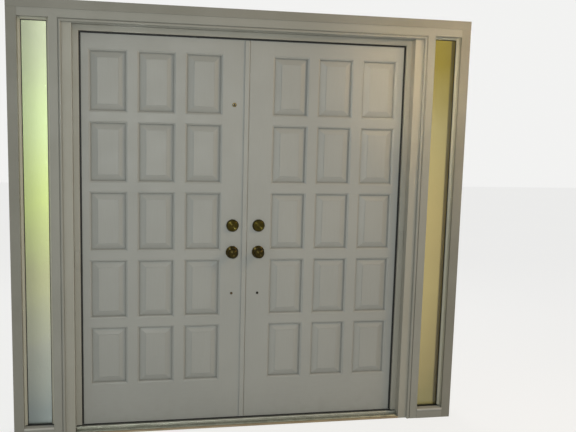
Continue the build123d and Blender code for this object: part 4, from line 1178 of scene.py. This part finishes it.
@dataclass
class MeetingStrip:
    """Painted-over bead on the edge of the astragal that closes the gap between the leaves, lighter than the
    leaves' paint as painted light against the shade in its groove.
    """

    # Lighter than the leaf paint: painted light that offsets the shade in the gap.
    colour: Colour = (0.460, 0.460, 0.420)
    groove_dust_and_shade: float = 0.3
    root: float = 0.00435
    reach: float = 0.0032
    front: float = 0.0004
    width: float = 0.0060
    low: float = 0.0132
    high: float = 2.0315
    steps: int = 8

    def build(self) -> None:
        """Run the bead up the edge, its round side towards the right leaf."""
        paint = BrushedPaint(
            "meeting_strip_lightened_paint", Stroke.ALONG_Z, colour=self.colour, groove_dust_and_shade=self.groove_dust_and_shade
        ).build()
        middle = self.front + self.width / 2
        angles = [math.pi * step / self.steps for step in range(self.steps + 1)]
        outline = [
            (self.root + self.reach * math.sin(angle), middle - self.width / 2 * math.cos(angle))
            for angle in angles
        ]
        rings = [[(x, y, height) for x, y in outline] for height in (self.low, self.high)]
        install(ringed_piece("meeting_strip", rings, STRIP_SHARP, paint), "left_leaf")


@dataclass
class LockFurniture:
    """Knob, deadbolt, street-side grip and their small parts on one leaf."""

    side: Side
    bore: float = 0.06855
    knob_height: float = 0.9271
    deadbolt_height: float = 1.0671
    knob_face: float = -0.062
    edge_middle: float = 0.02225
    strike_face: float = 0.00445
    strike_screw_rise: float = 0.0285
    case_face: float = 0.00825
    case_screw_rise: float = 0.0225
    # Near-black like the knob's brass: partly aged, partly a painted reflection of a dark room.
    deadbolt_colour: Colour = (0.047, 0.037, 0.008)
    button_profile: tuple[Span, ...] = (
        (0.0, -0.0020),
        (0.0052, -0.0020),
        (0.0052, 0.0006),
        (0.0047, 0.0012),
        (0.0030, 0.0016),
        (0.0, 0.0018),
    )
    metals: dict[str, Material] = field(default_factory=dict)

    def dress(self) -> None:
        """Give the lock parts of this leaf their metals."""
        name = self.side.name.lower()
        x = self.side.value * self.bore
        knob = TurnedBrass(f"{name}_knob_brass", (x, 0.0, self.knob_height))
        deadbolt = TurnedBrass(f"{name}_deadbolt_brass", (x, 0.0, self.deadbolt_height), self.deadbolt_colour)
        grip = WroughtMetal(f"{name}_grip_brass", Stroke.ALONG_Z, Metal.GRIP_BRASS, roughness=0.2)
        if self.side is Side.LEFT:
            bolt = Metal.BROWN_BOLT
            plate = WroughtMetal("strike_brass", Stroke.ALONG_Z, Metal.STRIKE_BRASS)
            own = {"plate": ("strikes", "upper_flush_bolt", "lower_flush_bolt"), "grip": ("door_viewer",)}
        else:
            bolt = Metal.BLACK_BOLT
            plate = WroughtMetal("bolt_steel", Stroke.ALONG_X, Metal.BOLT_STEEL)
            own = {"plate": ("bolt_cases", "deadbolt"), "grip": ("latch_bolt",)}
            own["deadbolt"] = ("deadbolt_plug",)
        through_bolt = WroughtMetal(
            f"{name}_through_bolt_metal", Stroke.ALONG_X, bolt, roughness=0.4, metallic=0.8
        )
        for label, finish, shared in (
            ("knob", knob, (f"{name}_knob", f"{name}_rose")),
            ("deadbolt", deadbolt, (f"{name}_deadbolt_collars",)),
            ("grip", grip, (f"{name}_handleset", f"{name}_thumbpiece")),
            ("through_bolt", through_bolt, (f"{name}_through_bolt",)),
            ("plate", plate, ()),
        ):
            self.metals[label] = finish.build()
            dress((*shared, *own.get(label, ())), self.metals[label])

    def build(self, screws: FixingTree) -> None:
        """Turn the knob's centre button and set the screws of the strikes or bolt cases.

        Args:
            screws: Tree for the screw heads.
        """
        name = self.side.name.lower()
        leaf = f"{name}_leaf"
        active = self.side is Side.RIGHT
        foot = (self.side.value * self.bore, self.knob_face, self.knob_height)
        brass = self.metals["knob"]
        button = turned_piece(f"{name}_knob_button", foot, INTO_ROOM, self.button_profile, brass)
        install(button, "knob" if active else leaf)
        face = self.case_face if active else self.strike_face
        rise = self.case_screw_rise if active else self.strike_screw_rise
        spots = [
            Spot((face, self.edge_middle, centre + step), (-1.0 * self.side.value, 0.0, 0.0))
            for centre in (self.knob_height, self.deadbolt_height)
            for step in (-rise, rise)
        ]
        sizes = {"Radius": 0.0032, "Height": 0.0003}
        slot = "bolt_steel" if active else "lock_brass"
        screws.grow(f"{name}_plate_screws", spots, sizes, self.metals["plate"], leaf, slot)


@dataclass
class DoorViewer:
    """Lenses at both ends of the door viewer."""

    x: float = -0.06855
    height: float = 1.688
    room_face: float = -0.0025
    street_face: float = 0.047
    dome: tuple[Span, ...] = (
        (0.0, -0.0010),
        (0.0044, -0.0010),
        (0.0044, 0.0001),
        (0.0036, 0.0006),
        (0.0020, 0.0010),
        (0.0, 0.0011),
    )

    def build(self) -> None:
        """Set a lens in each flange."""
        glass = ViewerGlass().build()
        for end, face, facing in (("room", self.room_face, -1.0), ("street", self.street_face, 1.0)):
            foot = (self.x, face, self.height)
            lens = turned_piece(f"viewer_lens_{end}", foot, (0.0, facing, 0.0), self.dome, glass)
            install(lens, "left_leaf")


@dataclass(frozen=True)
class StudioLight:
    """Square area light: its side in metres, power in watts and opening in degrees."""

    name: str
    place: Point
    target: Point
    side: float
    power: float
    colour: Colour
    opening: float = 180.0

    def hang(self) -> None:
        """Hang the light at its place, facing its target."""
        data = bpy.data.lights.new(self.name, "AREA")
        data.shape = "SQUARE"
        data.size = self.side
        data.energy = self.power
        data.color = self.colour
        data.spread = math.radians(self.opening)
        light = bpy.data.objects.new(self.name, data)
        light.location = self.place
        light.rotation_euler = (Vector(self.target) - Vector(self.place)).to_track_quat("-Z", "Y").to_euler()
        bpy.context.scene.collection.objects.link(light)


@dataclass
class Studio:
    """Camera at the photograph's place, plain floor and soft lights."""

    camera_place: Point = (-0.52527, -3.80504, 1.62879)
    yaw: float = math.radians(11.147)
    pitch: float = math.radians(-7.510)
    roll: float = math.radians(1.546)
    lens: float = 46.405
    sensor_width: float = 36.0
    near: float = 0.02
    floor_half: float = 14.0
    floor_colour: Colour = (0.80, 0.79, 0.77)
    floor_mottle: float = 1.04
    floor_glow: Colour = (1.0, 1.0, 0.99)
    floor_lift: float = 0.74
    backdrop: Colour = (0.89, 0.89, 0.88)
    ambient: float = 0.41
    ambient_colour: Colour = (1.0, 1.0, 1.0)
    lights: tuple[StudioLight, ...] = (
        StudioLight("key", (-0.66, -3.85, 1.80), (0.0, 0.0, 1.05), 0.3, 26.0, (0.93, 1.0, 0.975)),
        StudioLight("spark", (-0.56, -3.82, 1.53), (0.0, 0.0, 1.05), 0.04, 20.0, (0.96, 1.0, 0.98)),
        StudioLight("left", (-3.1, -2.2, 1.9), (0.4, 0.0, 1.1), 1.8, 5.0, (0.85, 1.0, 0.97)),
        StudioLight("right", (2.15, -1.45, 2.65), (0.8, 0.0, 1.6), 0.6, 24.0, (1.0, 0.68, 0.33)),
        StudioLight("back", (0.3, 3.6, 2.7), (0.0, 0.0, 1.1), 1.6, 34.0, (1.0, 1.0, 1.0)),
        StudioLight("glow", (-0.40, -1.9, 2.35), (1.12, 0.0, 1.80), 0.25, 1.1, (1.0, 0.76, 0.44), 30.0),
    )

    def aim_camera(self) -> None:
        """Place the camera with the lens and tilt found for the photograph."""
        level = math.cos(self.pitch)
        forward = Vector((math.sin(self.yaw) * level, math.cos(self.yaw) * level, math.sin(self.pitch)))
        level_right = Vector((math.cos(self.yaw), -math.sin(self.yaw), 0.0))
        level_up = level_right.cross(forward)
        right = math.cos(self.roll) * level_right + math.sin(self.roll) * level_up
        up = math.cos(self.roll) * level_up - math.sin(self.roll) * level_right
        data = bpy.data.cameras.new("camera")
        data.lens = self.lens
        data.sensor_width = self.sensor_width
        data.sensor_fit = "HORIZONTAL"
        data.clip_start = self.near
        camera = bpy.data.objects.new("camera", data)
        turn = Matrix((right, up, -forward)).transposed()
        camera.matrix_world = Matrix.Translation(self.camera_place) @ turn.to_4x4()
        bpy.context.scene.collection.objects.link(camera)
        bpy.context.scene.camera = camera

    def lay_floor(self) -> None:
        """Lay the pale floor."""
        half = self.floor_half
        mesh = bpy.data.meshes.new("studio_floor")
        corners = [(x * half, y * half, 0.0) for x, y in ((-1, -1), (1, -1), (1, 1), (-1, 1))]
        mesh.from_pydata(corners, [], [(0, 1, 2, 3)])
        graph = ShaderGraph("studio_floor")
        paler = tuple(min(1.0, value * self.floor_mottle) for value in self.floor_colour)
        mottle = graph.patches(0.8, 3.0, (0.2, 0.8), (0.0, 1.0))
        tone = graph.layered(self.floor_colour, (mottle, paler))
        graph.surface(Base_Color=tone, Roughness=0.9, Specular_IOR_Level=0.2)
        lifted = graph.outcome("ShaderNodeEmission", {"Color": self.floor_glow})
        share = graph.times(graph.looked_at(), self.floor_lift)
        inputs = {0: share, 1: graph.shader.outputs["BSDF"], 2: lifted}
        graph.feed(graph.output.inputs["Surface"], graph.outcome("ShaderNodeMixShader", inputs))
        mesh.materials.append(graph.material)
        link_object("studio_floor", mesh)

    def light_world(self) -> None:
        """Fill the room with soft light, and show a pale backdrop behind it."""
        world = bpy.data.worlds.new("studio_world")
        world.use_nodes = True
        kit = NodeKit(world.node_tree)
        kit.tree.nodes.clear()
        inputs = {"Color": self.ambient_colour, "Strength": self.ambient}
        fill = kit.outcome("ShaderNodeBackground", inputs)
        shown = kit.outcome("ShaderNodeBackground", {"Color": self.backdrop})
        mixed = kit.outcome("ShaderNodeMixShader", {0: kit.looked_at(), 1: fill, 2: shown})
        kit.node("ShaderNodeOutputWorld", {"Surface": mixed})
        bpy.context.scene.world = world

    def build(self) -> None:
        """Set up camera, floor and light."""
        self.aim_camera()
        self.lay_floor()
        self.light_world()
        for light in self.lights:
            light.hang()
        bpy.context.scene.view_settings.view_transform = "Standard"
        log.info("studio ready")


def write_size() -> None:
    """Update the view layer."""
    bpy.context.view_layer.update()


def main() -> None:
    """Build the studio, dress every piece of the doors and add their small fixings."""
    Studio().build()
    screws = FixingTree(Fixing.CROSS_SCREW)
    domes = FixingTree(Fixing.DOME)
    woodwork = FrameWoodwork()
    woodwork.dress()
    woodwork.build(domes)
    Sidelights().dress()
    threshold = Threshold()
    threshold.dress()
    threshold.build(RibTree(), screws)
    hinges = Hinges()
    hinges.dress()
    hinges.build(screws, domes)
    for side in Side:
        DoorLeaf(side).dress()
        furniture = LockFurniture(side)
        furniture.dress()
        furniture.build(screws)
    MeetingStrip().build()
    DoorViewer().build()
    write_size()


if __name__ == "__main__":
    main()
